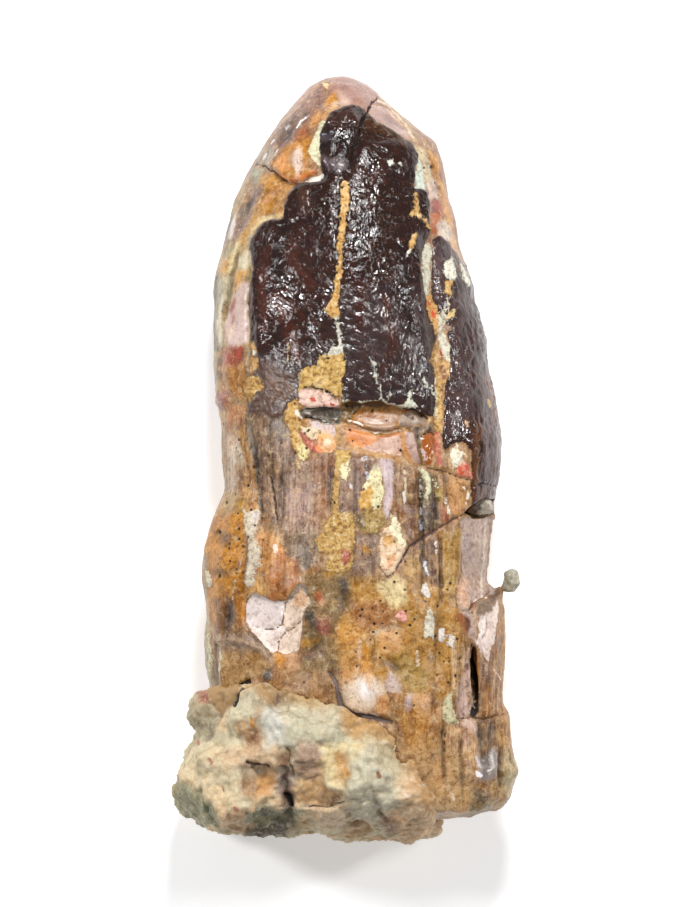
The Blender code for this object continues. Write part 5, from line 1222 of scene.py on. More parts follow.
FOLDS = (
    fold("bark furrow", 5, 0.5, -0.45, 0.6, (250, 424, 258, 466, 263, 510)),
    fold("bark furrow", 4, 0.4, -0.3, 0.6, (282, 446, 282, 480, 283, 530)),
    fold("bark crest", 6, 0.5, 0.35, 0.6, (266, 430, 268, 470, 270, 500)),
    fold("bark crest", 8, 0.6, 0.3, 0.6, (300, 460, 300, 500, 300, 536)),
    fold("rose rib fold", 9, 0.6, 0.2, 0.5, (322, 460, 322, 500, 319, 532)),
    fold("strip furrow", 4, 0.4, -0.35, 0.5, (331, 468, 330, 512)),
    fold("mauve furrow", 6, 0.6, -0.35, 0.5, (356, 470, 354, 500, 353, 560)),
    fold("butter crest", 7, 0.6, 0.3, 0.5, (372, 480, 370, 506)),
    fold("lilac crest", 8, 0.6, 0.35, 0.4, (388, 462, 390, 500, 386, 516)),
    fold("rib furrow", 3, 0.3, -0.4, 0.5, (394, 470, 395, 506, 401, 530)),
    fold("rib crest", 6, 0.4, 0.45, 0.5, (413, 472, 413, 510, 414, 536)),
    fold("rib furrow", 4, 0.3, -0.6, 0.4, (420, 472, 421, 520, 423, 594)),
    fold("rib crest", 4, 0.4, 0.3, 0.5, (426, 474, 427, 520)),
    fold("rib furrow", 4, 0.4, -0.45, 0.5, (433, 480, 432, 530)),
    fold("rib crest", 6, 0.4, 0.35, 0.5, (434, 540, 434, 596)),
    fold("rib furrow", 4, 0.4, -0.4, 0.5, (441, 540, 440, 600)),
    fold("shoulder crest", 10, 0.8, 0.3, 0.6, (450, 536, 450, 590)),
    fold("panel step", 3, 0.3, -0.3, 0.3, (461, 524, 462, 560, 458, 590)),
    fold("flank furrow", 5, 0.6, -0.3, 0.5, (246, 450, 250, 480)),
    fold("column ledge", 3, 0.4, -0.35, 0.4, (246, 512, 248, 556, 244, 590)),
    fold("bulge dent", 8, 0.8, -0.35, 0.8, (222, 532, 230, 548)),
    fold("bulge dent", 7, 0.7, -0.3, 0.8, (214, 570, 226, 574)),
    fold("foot hollow", 12, 1, -0.5, 0.6, (230, 606, 228, 626)),
    fold("orange crest", 7, 0.6, 0.3, 0.6, (272, 540, 272, 590)),
    fold("orange furrow", 4, 0.5, -0.3, 0.6, (264, 540, 262, 586)),
    fold("rust furrow", 4, 0.5, -0.3, 0.6, (286, 560, 286, 592)),
    fold("smoke hollow", 14, 1, -0.4, 0.7, (346, 580, 348, 606)),
    fold("smoke hollow", 10, 0.8, -0.35, 0.7, (310, 610, 318, 650)),
    fold("field furrow", 3, 0.4, -0.3, 0.6, (373, 644, 371, 670)),
    fold("field crest", 12, 1, 0.4, 0.6, (364, 640, 364, 694)),
    fold("field pool", 12, 0.9, 0.3, 0.6, (386, 634, 392, 644)),
    fold("field furrow", 7, 0.8, -0.4, 0.6, (388, 656, 400, 668)),
    fold("field furrow", 6, 0.6, -0.3, 0.6, (438, 606, 436, 660)),
    fold("drip crest", 5, 0.5, 0.3, 0.6, (451, 640, 452, 700)),
    fold("foot furrow", 4, 0.4, -0.45, 0.6, (442, 722, 444, 780)),
    fold("foot furrow", 4, 0.4, -0.35, 0.6, (460, 732, 462, 800)),
    fold("foot furrow", 5, 0.5, -0.45, 0.5, (479, 722, 482, 760)),
    fold("foot furrow", 4, 0.5, -0.4, 0.5, (490, 722, 488, 760)),
    fold("foot crest", 6, 0.5, 0.35, 0.5, (470, 724, 472, 776)),
    fold("flake step", 4, 0.4, -0.5, 0.4, (500, 748, 499, 784)),
    fold("left foot furrow", 4, 0.5, -0.4, 0.6, (216, 640, 217, 690)),
    fold("left foot crest", 5, 0.5, 0.35, 0.6, (223, 650, 224, 690)),
    fold("grit ledge", 5, 0.3, 0.35, 0.3, (216, 640, 236, 638, 262, 646)),
    fold("scar shadow", 4, 0.3, -0.3, 0.3, (250, 630, 262, 642, 272, 654)),
    fold("margin furrow", 4, 0.5, -0.4, 0.5, (250, 270, 249, 320, 252, 372)),
    fold("margin ledge", 4, 0.4, -0.35, 0.5, (238, 252, 232, 280, 226, 320)),
    fold("margin clots", 10, 0.6, 0.35, 0.6, (230, 356, 232, 390)),
    fold("nodule", 10, 0.6, 0.5, 0, (223, 400, 225, 403)),
    fold("mauve hollow", 7, 0.7, -0.35, 0.6, (252, 200, 240, 228)),
    fold("tip scoop", 10, 0.9, -0.35, 0.7, (294, 126, 280, 144)),
    fold("amber swell", 14, 1, 0.35, 0.7, (296, 152, 296, 168)),
    fold("lip step", 3, 0.3, -0.4, 0.3, (276, 177, 288, 184, 300, 183, 316, 176)),
    fold("facet scoop", 10, 0.8, -0.25, 0.7, (382, 114, 398, 126)),
    fold("side scoop", 8, 0.8, -0.25, 0.7, (432, 160, 436, 190)),
    fold("recess roof", 0, 0.25, -0.35, 0, (344, 404, 378, 402, 400, 409, 428, 419, 420, 414,
        398, 410, 378, 404, 350, 405)),
    fold("recess hollow", 0, 0.5, -0.2, 0, (344, 406, 378, 404, 400, 412, 398, 420, 372, 417,
        350, 414)),
    fold("recess ridge", 3, 0.35, 0.35, 0.3, (346, 421, 362, 426, 378, 429, 396, 426)),
    fold("recess trough", 3, 0.3, -0.35, 0.3, (346, 427, 366, 432, 384, 434, 402, 431)),
    fold("lilac ridge", 4, 0.4, 0.4, 0.3, (410, 434, 414, 448, 418, 462)),
    fold("rim trough", 3, 0.35, -0.3, 0.4, (401, 436, 402, 448, 409, 460)),
    fold("wall trough", 4, 0.35, -0.5, 0.3, (416, 430, 418, 446, 420, 464)),
    fold("pocket scoop", 0, 0.3, -0.5, 0, (302, 411, 320, 408, 340, 411, 338, 422, 318, 419)),
    fold("bead swell", 8, 0.6, 0.35, 0, (326, 442, 328, 444)),
    fold("amber bead swell", 8, 0.6, 0.4, 0.4, (428, 442, 427, 458)),
)
PITS = (239, 513, 227, 502, 244, 508, 252, 509, 253, 514, 256, 500, 249, 485, 234, 531, 240, 528,
        220, 531, 227, 534, 230, 542, 226, 545, 230, 547, 240, 538, 243, 551, 244, 545, 231, 560,
        223, 568, 220, 575, 238, 572, 244, 571, 256, 525, 270, 526, 249, 536, 264, 539, 262, 556,
        335, 502, 390, 600, 362, 607, 383, 609, 377, 614, 360, 613, 366, 614, 382, 621, 374, 621,
        356, 623, 373, 629, 387, 630, 399, 635, 409, 623, 413, 632, 422, 636, 410, 607, 432, 614,
        437, 604, 359, 643, 370, 637, 384, 645, 354, 655, 357, 663, 434, 643, 424, 652, 435, 634,
        443, 654, 443, 659, 448, 659, 449, 639, 456, 637, 459, 656, 436, 672, 454, 673, 440, 682,
        387, 689, 413, 702, 388, 702, 329, 360, 329, 364, 331, 393, 342, 190, 430, 158, 433, 166,
        424, 168, 436, 182, 309, 431, 312, 434, 306, 434, 320, 433, 301, 445, 307, 448, 297, 442,
        304, 456, 296, 453, 343, 415, 347, 407, 352, 408, 361, 417, 372, 411, 375, 417, 379, 410,
        386, 421, 407, 416, 412, 418, 398, 441, 398, 448, 400, 450, 367, 444, 353, 441, 350, 430,
        376, 497, 378, 506, 381, 483, 391, 524, 365, 559, 304, 560, 393, 541, 405, 560, 406, 577,
        394, 580, 395, 595, 446, 588, 449, 582, 428, 600, 404, 588, 424, 599, 224, 424, 240, 440,
        270, 456, 282, 443)
DOTTED = (
    zone(0.8, 0.5, (204, 505, 262, 496, 262, 600, 204, 612)),
    zone(1, 0.35, (345, 588, 462, 596, 462, 700, 348, 700)),
    zone(0.4, 0.45, (422, 150, 438, 150, 440, 196, 424, 190)),
    zone(0.3, 0.5, (290, 404, 310, 404, 310, 460, 290, 460)),
    zone(0.8, 0.3, (216, 436, 260, 436, 330, 560, 250, 560)),
    zone(1, 0.2, (214, 630, 340, 630, 340, 690, 214, 700)),
)
GRITTY = (
    zone(1, 0.8, (204, 632, 270, 632, 272, 700, 204, 700)),
    zone(1.2, 0.8, (300, 560, 362, 560, 345, 670, 300, 670)),
    zone(1.2, 0.8, (258, 362, 300, 372, 300, 428, 220, 428)),
    zone(1, 0.4, (200, 500, 248, 500, 246, 630, 200, 630)),
    zone(1.4, 0.8, (408, 744, 520, 736, 520, 830, 408, 830)),
    zone(0.8, 0.9, (212, 346, 250, 346, 250, 420, 212, 420)),
    zone(1, 0.4, (388, 652, 450, 640, 450, 700, 396, 690)),
    zone(0.5, 0.9, (446, 440, 470, 440, 470, 480, 450, 480)),
)
FIBROUS = (
    zone(1.6, 0.6, (196, 424, 512, 424, 520, 830, 196, 830)),
    zone(1, 0.8, (244, 410, 335, 450, 330, 540, 250, 540)),
    zone(0.4, 0.7, (461, 519, 493, 517, 486, 590, 455, 608)),
    zone(0.6, 1, (392, 466, 446, 470, 444, 600, 400, 560)),
    zone(1.6, 1, (436, 640, 512, 640, 512, 760, 440, 760)),
    zone(1.4, 0.15, (396, 730, 452, 748, 474, 790, 470, 830, 396, 830)),
    zone(0.8, 0.15, (200, 500, 246, 500, 246, 632, 200, 632)),
    zone(0.3, 0, (248, 596, 308, 588, 302, 650, 268, 645)),
    zone(0.8, 0.2, (250, 346, 300, 362, 304, 412, 248, 412)),
    zone(0.8, 0.1, (308, 568, 362, 566, 340, 668, 300, 668)),
    zone(1, 0.12, (345, 574, 460, 600, 440, 700, 345, 690)),
    zone(0.3, 0, (296, 406, 434, 408, 420, 464, 344, 448, 300, 440)),
    zone(0.8, 0.1, (224, 632, 300, 640, 300, 700, 224, 700)),
)


# ------------------------------------------------------------------ the inner face's marks
INNER_ENAMEL = (
    lay("inner plate", "2b1d1a", 0, (318, 132, 336, 124, 352, 130, 372, 126, 392, 146, 404, 172,
        398, 190, 416, 204, 430, 236, 424, 262, 438, 300, 434, 344, 440, 372, 420, 396, 404, 392,
        380, 412, 352, 406, 330, 418, 306, 400, 284, 404, 270, 372, 276, 330, 262, 296, 270, 262,
        262, 232, 284, 214, 280, 190, 300, 176, 298, 152)),
    lay("inner lobe", "3a2826", 0, (452, 250, 470, 244, 490, 256, 512, 300, 516, 500, 476, 504,
        468, 470, 458, 440, 462, 400, 452, 360, 458, 320, 450, 286)),
    lay("inner margin", "33241f", 0, (212, 296, 236, 262, 248, 284, 242, 330, 250, 366, 236, 398,
        214, 392)),
)
INNER_GROUND = (
    Mark("inner tip", "b3855c", 0, 1.6, (280, 60, 420, 60, 470, 200, 470, 250, 220, 250,
        230, 200)),
    Mark("inner cap", "a77c6f", 0, 1.2, (320, 66, 372, 66, 384, 104, 346, 112,
        312, 104), gloss=0.6),
    Mark("inner rose", "bb9486", 0, 1, (232, 210, 262, 196, 268, 250, 246, 300,
        222, 300), gloss=0.55),
    Mark("inner amber", "c08a4a", 0, 1.2, (404, 140, 440, 150, 452, 230, 430, 236)),
    Mark("inner root", "9f7c58", 0, 1.8, (196, 410, 512, 410, 512, 830, 196, 830)),
    Mark("inner bark", "765a47", 0, 1.4, (260, 420, 330, 430, 320, 580, 270, 560)),
    Mark("inner rose bark", "96695a", 0, 1.2, (360, 430, 396, 440, 392, 560, 356, 550)),
    Mark("inner ochre", "b88a49", 0, 1.4, (400, 440, 452, 460, 448, 600, 410, 590)),
    Mark("inner orange", "c58c4e", 0, 1.4, (220, 470, 262, 480, 256, 620, 214, 610)),
    Mark("inner peach", "d3aa86", 0, 1.6, (320, 600, 392, 590, 398, 690, 330, 700)),
    Mark("inner plum", "855a4e", 0, 1, (272, 610, 306, 606, 300, 664, 276, 660)),
    Mark("inner tan", "a98a5e", 0, 1.4, (420, 620, 500, 620, 500, 780, 430, 780)),
)
INNER_DEPOSITS = (
    lay("inner vein", "cfa055", 7, (352, 132, 346, 180, 356, 230, 350, 290, 358, 330), gloss=0.2),
    lay("inner cream thread", "c9c8b8", 3, (358, 330, 352, 368, 360, 404)),
    lay("inner side vein", "c4954e", 6, (442, 262, 448, 320, 444, 380, 452, 430), gloss=0.2),
    lay("inner left vein", "c79a50", 5, (256, 270, 258, 330, 254, 390), gloss=0.2),
    lay("inner crust", "b98b48", 0, (300, 408, 330, 420, 348, 444, 330, 470, 312, 452,
        292, 440), gloss=0.2),
    lay("inner cream", "dccb9c", 0, (384, 420, 402, 426, 398, 462, 386, 456)),
    lay("inner mat", "b38c4e", 0, (336, 500, 362, 508, 358, 556, 338, 566, 328, 530), gloss=0.2),
    lay("inner scar", "d8c2b6", 0, (420, 540, 446, 532, 452, 566, 438, 590, 422, 580), gloss=0.6),
    lay("inner chalk", "c9c9bb", 3, (300, 330, 306, 360, 302, 392)),
    lay("inner chalk", "cfc9b8", 3, (408, 300, 404, 340)),
)
INNER_CRACKS = (
    lay("inner tip crack", "1c1210", 2.4, (379, 93, 372, 112, 376, 140, 368, 170)),
    lay("inner long crack", "4f3730", 2.4, (492, 512, 452, 520, 424, 540, 380, 548, 350, 570,
        300, 576, 262, 600)),
    lay("inner crack branch", "5d463a", 1.4, (350, 570, 344, 610, 356, 650)),
    lay("inner crown crack", "3a2a20", 1.4, (262, 300, 300, 312, 330, 304, 372, 318, 410, 310)),
)

# ------------------------------------------------------------------ the mudstone's marks
MUDSTONE_TINTS = (
    Mark("pale shoulder", "bcb598", 0, 0.9, (236, 700, 246, 686, 262, 680, 274, 700, 268, 722,
        244, 716)),
    Mark("grey white", "c8c8be", 0, 1, (262, 704, 284, 700, 290, 736, 266, 744)),
    Mark("brown top", "a37c49", 0, 0.8, (252, 680, 292, 676, 300, 696, 284, 706, 262, 700)),
    Mark("umber spot", "5c412c", 0, 0.7, (277, 688, 286, 688, 285, 700, 277, 700)),
    Mark("ochre shoulder", "b28b52", 0, 0.9, (286, 670, 330, 672, 338, 704, 300, 700)),
    Mark("rust spot", "8a5630", 0, 0.6, (246, 726, 258, 724, 260, 740, 250, 742)),
    Mark("brown run", "a9825a", 5, 0.6, (262, 706, 256, 722, 248, 738)),
    Mark("olive middle", "bdb79c", 0, 1.2, (284, 700, 346, 704, 352, 734, 290, 742)),
    Mark("left chalk", "cabd9c", 0, 1, (180, 742, 206, 726, 226, 744, 220, 778, 184, 776)),
    Mark("tan ledge", "c5a682", 0, 0.8, (214, 742, 290, 742, 292, 760, 240, 764, 214, 756)),
    # painted shadow at the tan ledge's end
    Mark("brown end", "8b6746", 0, 0.6, (279, 746, 295, 746, 294, 760, 280, 762)),
    Mark("red brown marks", "8f5a44", 4, 0.5, (207, 751, 212, 758, 218, 764)),
    Mark("lens grey", "a38d74", 0, 0.7, (240, 760, 256, 756, 268, 762, 262, 778, 244, 776)),
    Mark("lens", "b3875c", 0, 0.6, (240, 776, 262, 768, 272, 764, 280, 772, 278, 788, 262, 794,
        246, 790)),
    Mark("lens amber", "d19b5b", 0, 0.5, (260, 772, 274, 768, 278, 778, 270, 790, 262, 788)),
    Mark("rosy grains", "b39a92", 0, 0.6, (278, 770, 296, 768, 296, 792, 280, 794)),
    Mark("green chip", "8b896a", 0, 0.5, (172, 778, 186, 772, 202, 780, 210, 800, 218, 818,
        206, 826, 184, 822, 170, 800), gloss=0.5),
    Mark("green shade", "656a4f", 0, 0.4, (204, 782, 214, 792, 224, 806, 224, 820, 212, 820,
        206, 802), gloss=0.5),
    Mark("tan brink", "cfb28a", 6, 0.5, (182, 774, 200, 778, 212, 786, 220, 800, 226, 812,
        240, 812, 248, 806, 262, 797, 280, 791)),
    Mark("brink foot", "c7a27a", 0, 0.6, (226, 800, 246, 802, 244, 826, 230, 830)),
    # olive stone, painted darker as shade in the hollow at the lower left
    Mark("olive hollow", "6f6f56", 0, 0.6, (246, 808, 268, 802, 300, 808, 300, 824, 262, 826,
        246, 820)),
    # painted shade: the underside is darkened as it lies out of the light
    Mark("black underside", "35352e", 0, 0.5, (246, 824, 288, 822, 288, 834, 246, 834)),
    Mark("deep hole", "4e3a2e", 0, 0.5, (282, 788, 294, 786, 296, 806, 284, 804)),
    Mark("mauve brown", "a3826a", 0, 0.9, (298, 736, 320, 738, 320, 774, 300, 776)),
    Mark("ochre low", "caa26c", 0, 0.8, (296, 775, 324, 775, 324, 797, 296, 797)),
    Mark("ring", "dcc896", 0, 0.7, (320, 740, 342, 736, 364, 744, 368, 768, 352, 784, 328, 778)),
    Mark("ochre core", "bd8b48", 0, 0.5, (334, 748, 344, 746, 352, 762, 350, 778, 340, 776,
        334, 762)),
    Mark("plum grey", "938992", 0, 0.5, (368, 736, 382, 738, 380, 748, 368, 746)),
    Mark("brown dash", "8f6f52", 4, 0.5, (376, 766, 380, 774)),
    Mark("mauve patch", "b3957e", 0, 0.7, (298, 738, 318, 738, 318, 764, 300, 766)),
    Mark("amber band", "bb9160", 0, 0.7, (292, 782, 318, 776, 342, 784, 340, 798, 300, 800)),
    Mark("brown bar", "8d6337", 4, 0.4, (326, 798, 340, 790)),
    Mark("rosy foot", "d2b492", 0, 1, (300, 800, 350, 798, 356, 826, 320, 826)),
    Mark("grey green field", "c2bca4", 0, 1.2, (346, 752, 388, 744, 398, 790, 388, 822,
        350, 818)),
    Mark("brown arrow", "8d6341", 0, 0.6, (376, 802, 386, 812, 398, 806, 400, 826, 388, 832,
        382, 822)),
    Mark("warm field", "cfa980", 0, 1.2, (398, 766, 470, 760, 470, 836, 400, 842)),
    Mark("brown grain", "9a7250", 5, 0.7, (424, 786, 430, 806)),
    Mark("ochre brink", "b78f54", 0, 1, (346, 708, 402, 716, 430, 748, 416, 764, 380, 742,
        346, 726)),
    Mark("grey cream", "c1b391", 0, 1, (362, 728, 396, 736, 404, 764, 380, 764)),
    Mark("nodule", "a89d80", 0, 0.8, (186, 690, 206, 686, 220, 700, 218, 730, 200, 738,
        186, 720)),
    Mark("nodule cap", "a45741", 0, 0.5, (199, 688, 212, 690, 212, 699, 200, 700)),
    Mark("ochre seam", "b98c54", 20, 1.2, (350, 714, 380, 722, 404, 742, 422, 766, 434, 800)),
    Mark("face chalk", "d8c49c", 0, 1.2, (184, 742, 222, 748, 240, 770, 238, 800, 206, 792,
        186, 772), strength=0.7),
    Mark("crevice shade", "7c6250", 7, 0.7, (284, 762, 287, 782, 288, 806)),
    Mark("nodule shade", "7a6e58", 6, 0.7, (224, 692, 221, 712, 208, 734)),
    Mark("crusty root foot", "b48d5f", 0, 1.2, (404, 700, 440, 700, 446, 780, 420, 790)),
)
MUDSTONE_FOLDS = (
    fold("nodule crease", 8, 0.8, -0.9, 0.4, (222, 694, 219, 712, 206, 734)),
    fold("lens hollow", 0, 0.6, -0.8, 0, (246, 758, 258, 757, 272, 764, 274, 784, 260, 792,
        246, 784)),
    fold("lens brow", 7, 0.6, 0.6, 0.4, (242, 750, 258, 752, 274, 758, 284, 768)),
    fold("middle crevice", 7, 0.8, -1.3, 0.3, (285, 764, 288, 786, 290, 812)),
    fold("grey hollow", 0, 0.7, -0.6, 0, (214, 734, 229, 734, 229, 749, 214, 749)),
    fold("ring", 8, 0.7, 0.5, 0.2, (326, 750, 330, 776, 350, 786, 364, 772, 362, 748, 342, 740)),
    fold("ring core", 0, 0.5, -0.5, 0, (336, 750, 346, 750, 350, 772, 340, 776)),
    fold("foot crevice", 5, 0.6, -0.7, 0.6, (348, 806, 354, 820)),
    fold("foot crevice", 5, 0.6, -0.7, 0.6, (356, 820, 372, 828)),
    fold("arrow crevice", 6, 0.6, -0.6, 0.6, (380, 806, 392, 820)),
    fold("bar crevice", 5, 0.6, -0.6, 0.5, (298, 797, 318, 796, 338, 800)),
    fold("left ledge", 8, 0.7, 0.5, 0.3, (184, 774, 208, 780, 226, 812)),
    fold("olive hollow", 0, 0.8, -0.9, 0, (248, 808, 270, 803, 300, 810, 296, 824, 250, 824)),
    fold("face crevice", 5, 0.6, -0.5, 0.7, (290, 742, 300, 758, 322, 762)),
    fold("upper crest", 10, 0.9, 0.4, 0.6, (270, 712, 300, 722, 344, 728)),
)
MUDSTONE_FLECKS = (
    fleck("b8823e", 4, (252, 713, 255, 719)),
    fleck("a87a62", 2.6, (209, 754, 214, 759)),
    fleck("a87258", 2.4, (199, 740, 202, 743)),
    fleck("dcc8ba", 3, (404, 787, 408, 790)),
    fleck("a5845a", 0, (208, 676, 246, 674, 240, 684, 235, 694, 230, 704, 222, 712, 215, 704,
        212, 692)),
    fleck("80604a", 3, (384, 814, 390, 818)),
    fleck("94704c", 3, (330, 798, 337, 794)),
    fleck("a8705c", 2.2, (237, 800, 240, 804)),
    fleck("a06650", 2.4, (224, 785, 222, 781)),
    fleck("6e4a32", 4.4, (281, 690, 281, 698)),
    fleck("7a5238", 4, (252, 734, 256, 729)),
    fleck("7c5a3c", 3.4, (287, 752, 289, 757)),
    fleck("84603f", 3.4, (376, 768, 378, 773)),
    fleck("b98a4a", 4, (342, 756, 346, 770)),
)
MUDSTONE_CRACKS = (
    lay("lens shadow", "4b3b2c", 2.4, (248, 754, 258, 756, 267, 760, 276, 768)),
    lay("hole", "241a14", 5, (288, 790, 290, 802)),
    lay("root crevice", "20160f", 3.4, (252, 677, 243, 683, 238, 691, 233, 701)),
    lay("chip seam", "4a4b36", 2, (203, 784, 210, 800, 214, 816)),
    lay("foot seam", "4c4130", 1.6, (300, 800, 322, 802, 344, 796)),
    lay("ledge seam", "6a5842", 1.4, (286, 742, 292, 756, 296, 772)),
    lay("arrow seam", "5a4530", 1.6, (350, 820, 366, 822, 378, 828)),
)


# ------------------------------------------------------------------ finishes
class Blend(Enum):
    """How a layer of colour lies on the one below."""

    COVER = "MIX"
    STAIN = "MULTIPLY"
    SOFT = "SOFT_LIGHT"


@dataclass(frozen=True)
class Veil:
    """A thin layer of colour that follows a pattern.

    It is as dense as at_start where the pattern's value is start, and as at_end where it
    is end. The pattern named in held thins it further.
    """

    pattern: str
    start: float
    end: float
    at_start: float
    at_end: float
    colour: str
    blend: Blend = Blend.COVER
    held: str = ""


@dataclass(frozen=True)
class Grain:
    """One noise pattern: its cell in millimetres, its layers, their roughness, its twist."""

    cell_mm: float
    layers: float
    roughness: float
    twist: float = 0.0


class Palette:
    """The nodes of one material, and the patterns made so far by name."""

    def __init__(self, name: str, numbers: tuple[str, ...], colours: tuple[str, ...],
                 grains: dict[str, Grain]) -> None:
        """Starts a material whose patterns are measured in millimetres.

        Args:
            name: The material's name.
            numbers: Names of the numbers kept at the vertices.
            colours: Names of the colours kept there; each one's alpha is found as
                "name gloss".
            grains: Noise patterns by name.
        """
        self.material = bpy.data.materials.new(name)
        self.material.use_nodes = True
        tree = self.material.node_tree
        tree.nodes.clear()
        self.node = node = partial(add_node, tree)
        place = node("TexCoord", take="Object")
        self.mm = node("VectorMath", {0: place, "Scale": 1.0 / MM}, operation="SCALE")
        self.found: dict[str, Any] = {}
        for key in numbers:
            self.found[key] = node("Attribute", attribute_name=key, take="Fac")
        for key in colours:
            self.found[key] = node("Attribute", attribute_name=key, take="Color")
            self.found[f"{key} gloss"] = self.found[key].node.outputs["Alpha"]
        for key, grain in grains.items():
            self.found[key] = node("TexNoise", {
                "Vector": self.mm, "Scale": 1.0 / grain.cell_mm, "Detail": grain.layers,
                "Roughness": grain.roughness, "Distortion": grain.twist})

    def veil(self, colour: Any, veils: tuple[Veil, ...]) -> Any:
        """Lays veils over a colour, one after another.

        Args:
            colour: Socket with the colour below.
            veils: The veils, the lowest first.

        Returns:
            Socket with the new colour.
        """
        for veil in veils:
            share = self.node("MapRange", (self.found[veil.pattern], veil.start, veil.end,
                                           veil.at_start, veil.at_end))
            if veil.held:
                share = self.node("Math", (share, self.found[veil.held]),
                                  operation="MULTIPLY")
            colour = self.node("Mix", {0: share, 6: colour, 7: rgba(veil.colour)}, take=2,
                               data_type="RGBA", blend_type=veil.blend.value)
        return colour

    def ragged_edge(self, edge: str, ragged: str, reach: Any, soft: float) -> Any:
        """Turns a signed distance into a mask with a ragged edge.

        Args:
            edge: Pattern with the distance in millimetres.
            ragged: Pattern with noise from 0 to 1.
            reach: How far the noise moves the edge, in millimetres, or a socket with that.
            soft: Half the width of the edge, in millimetres.

        Returns:
            The mask's socket, 0 outside and 1 inside.
        """
        push = self.node("Math", (self.found[ragged], 0.5), operation="SUBTRACT")
        moved = self.node("Math", (push, reach, self.found[edge]),
                          operation="MULTIPLY_ADD")
        return self.node("MapRange", (moved, -soft, soft, 0.0, 1.0),
                         interpolation_type="SMOOTHSTEP")

    def finish(self, colour: Any, rough: Any, height: Any,
               ior: float) -> bpy.types.Material:
        """Ends the material with its shader.

        Args:
            colour: Socket with the colour.
            rough: Socket with the roughness.
            height: Socket with the relief, in millimetres.
            ior: How strongly the surface bends light.

        Returns:
            The material.
        """
        bump = self.node("Bump", {"Strength": 1.0, "Distance": MM, "Height": height})
        shader = self.node("BsdfPrincipled", {"Base Color": colour, "Roughness": rough,
                                              "IOR": ior, "Normal": bump})
        self.node("OutputMaterial", (shader,))
        return self.material


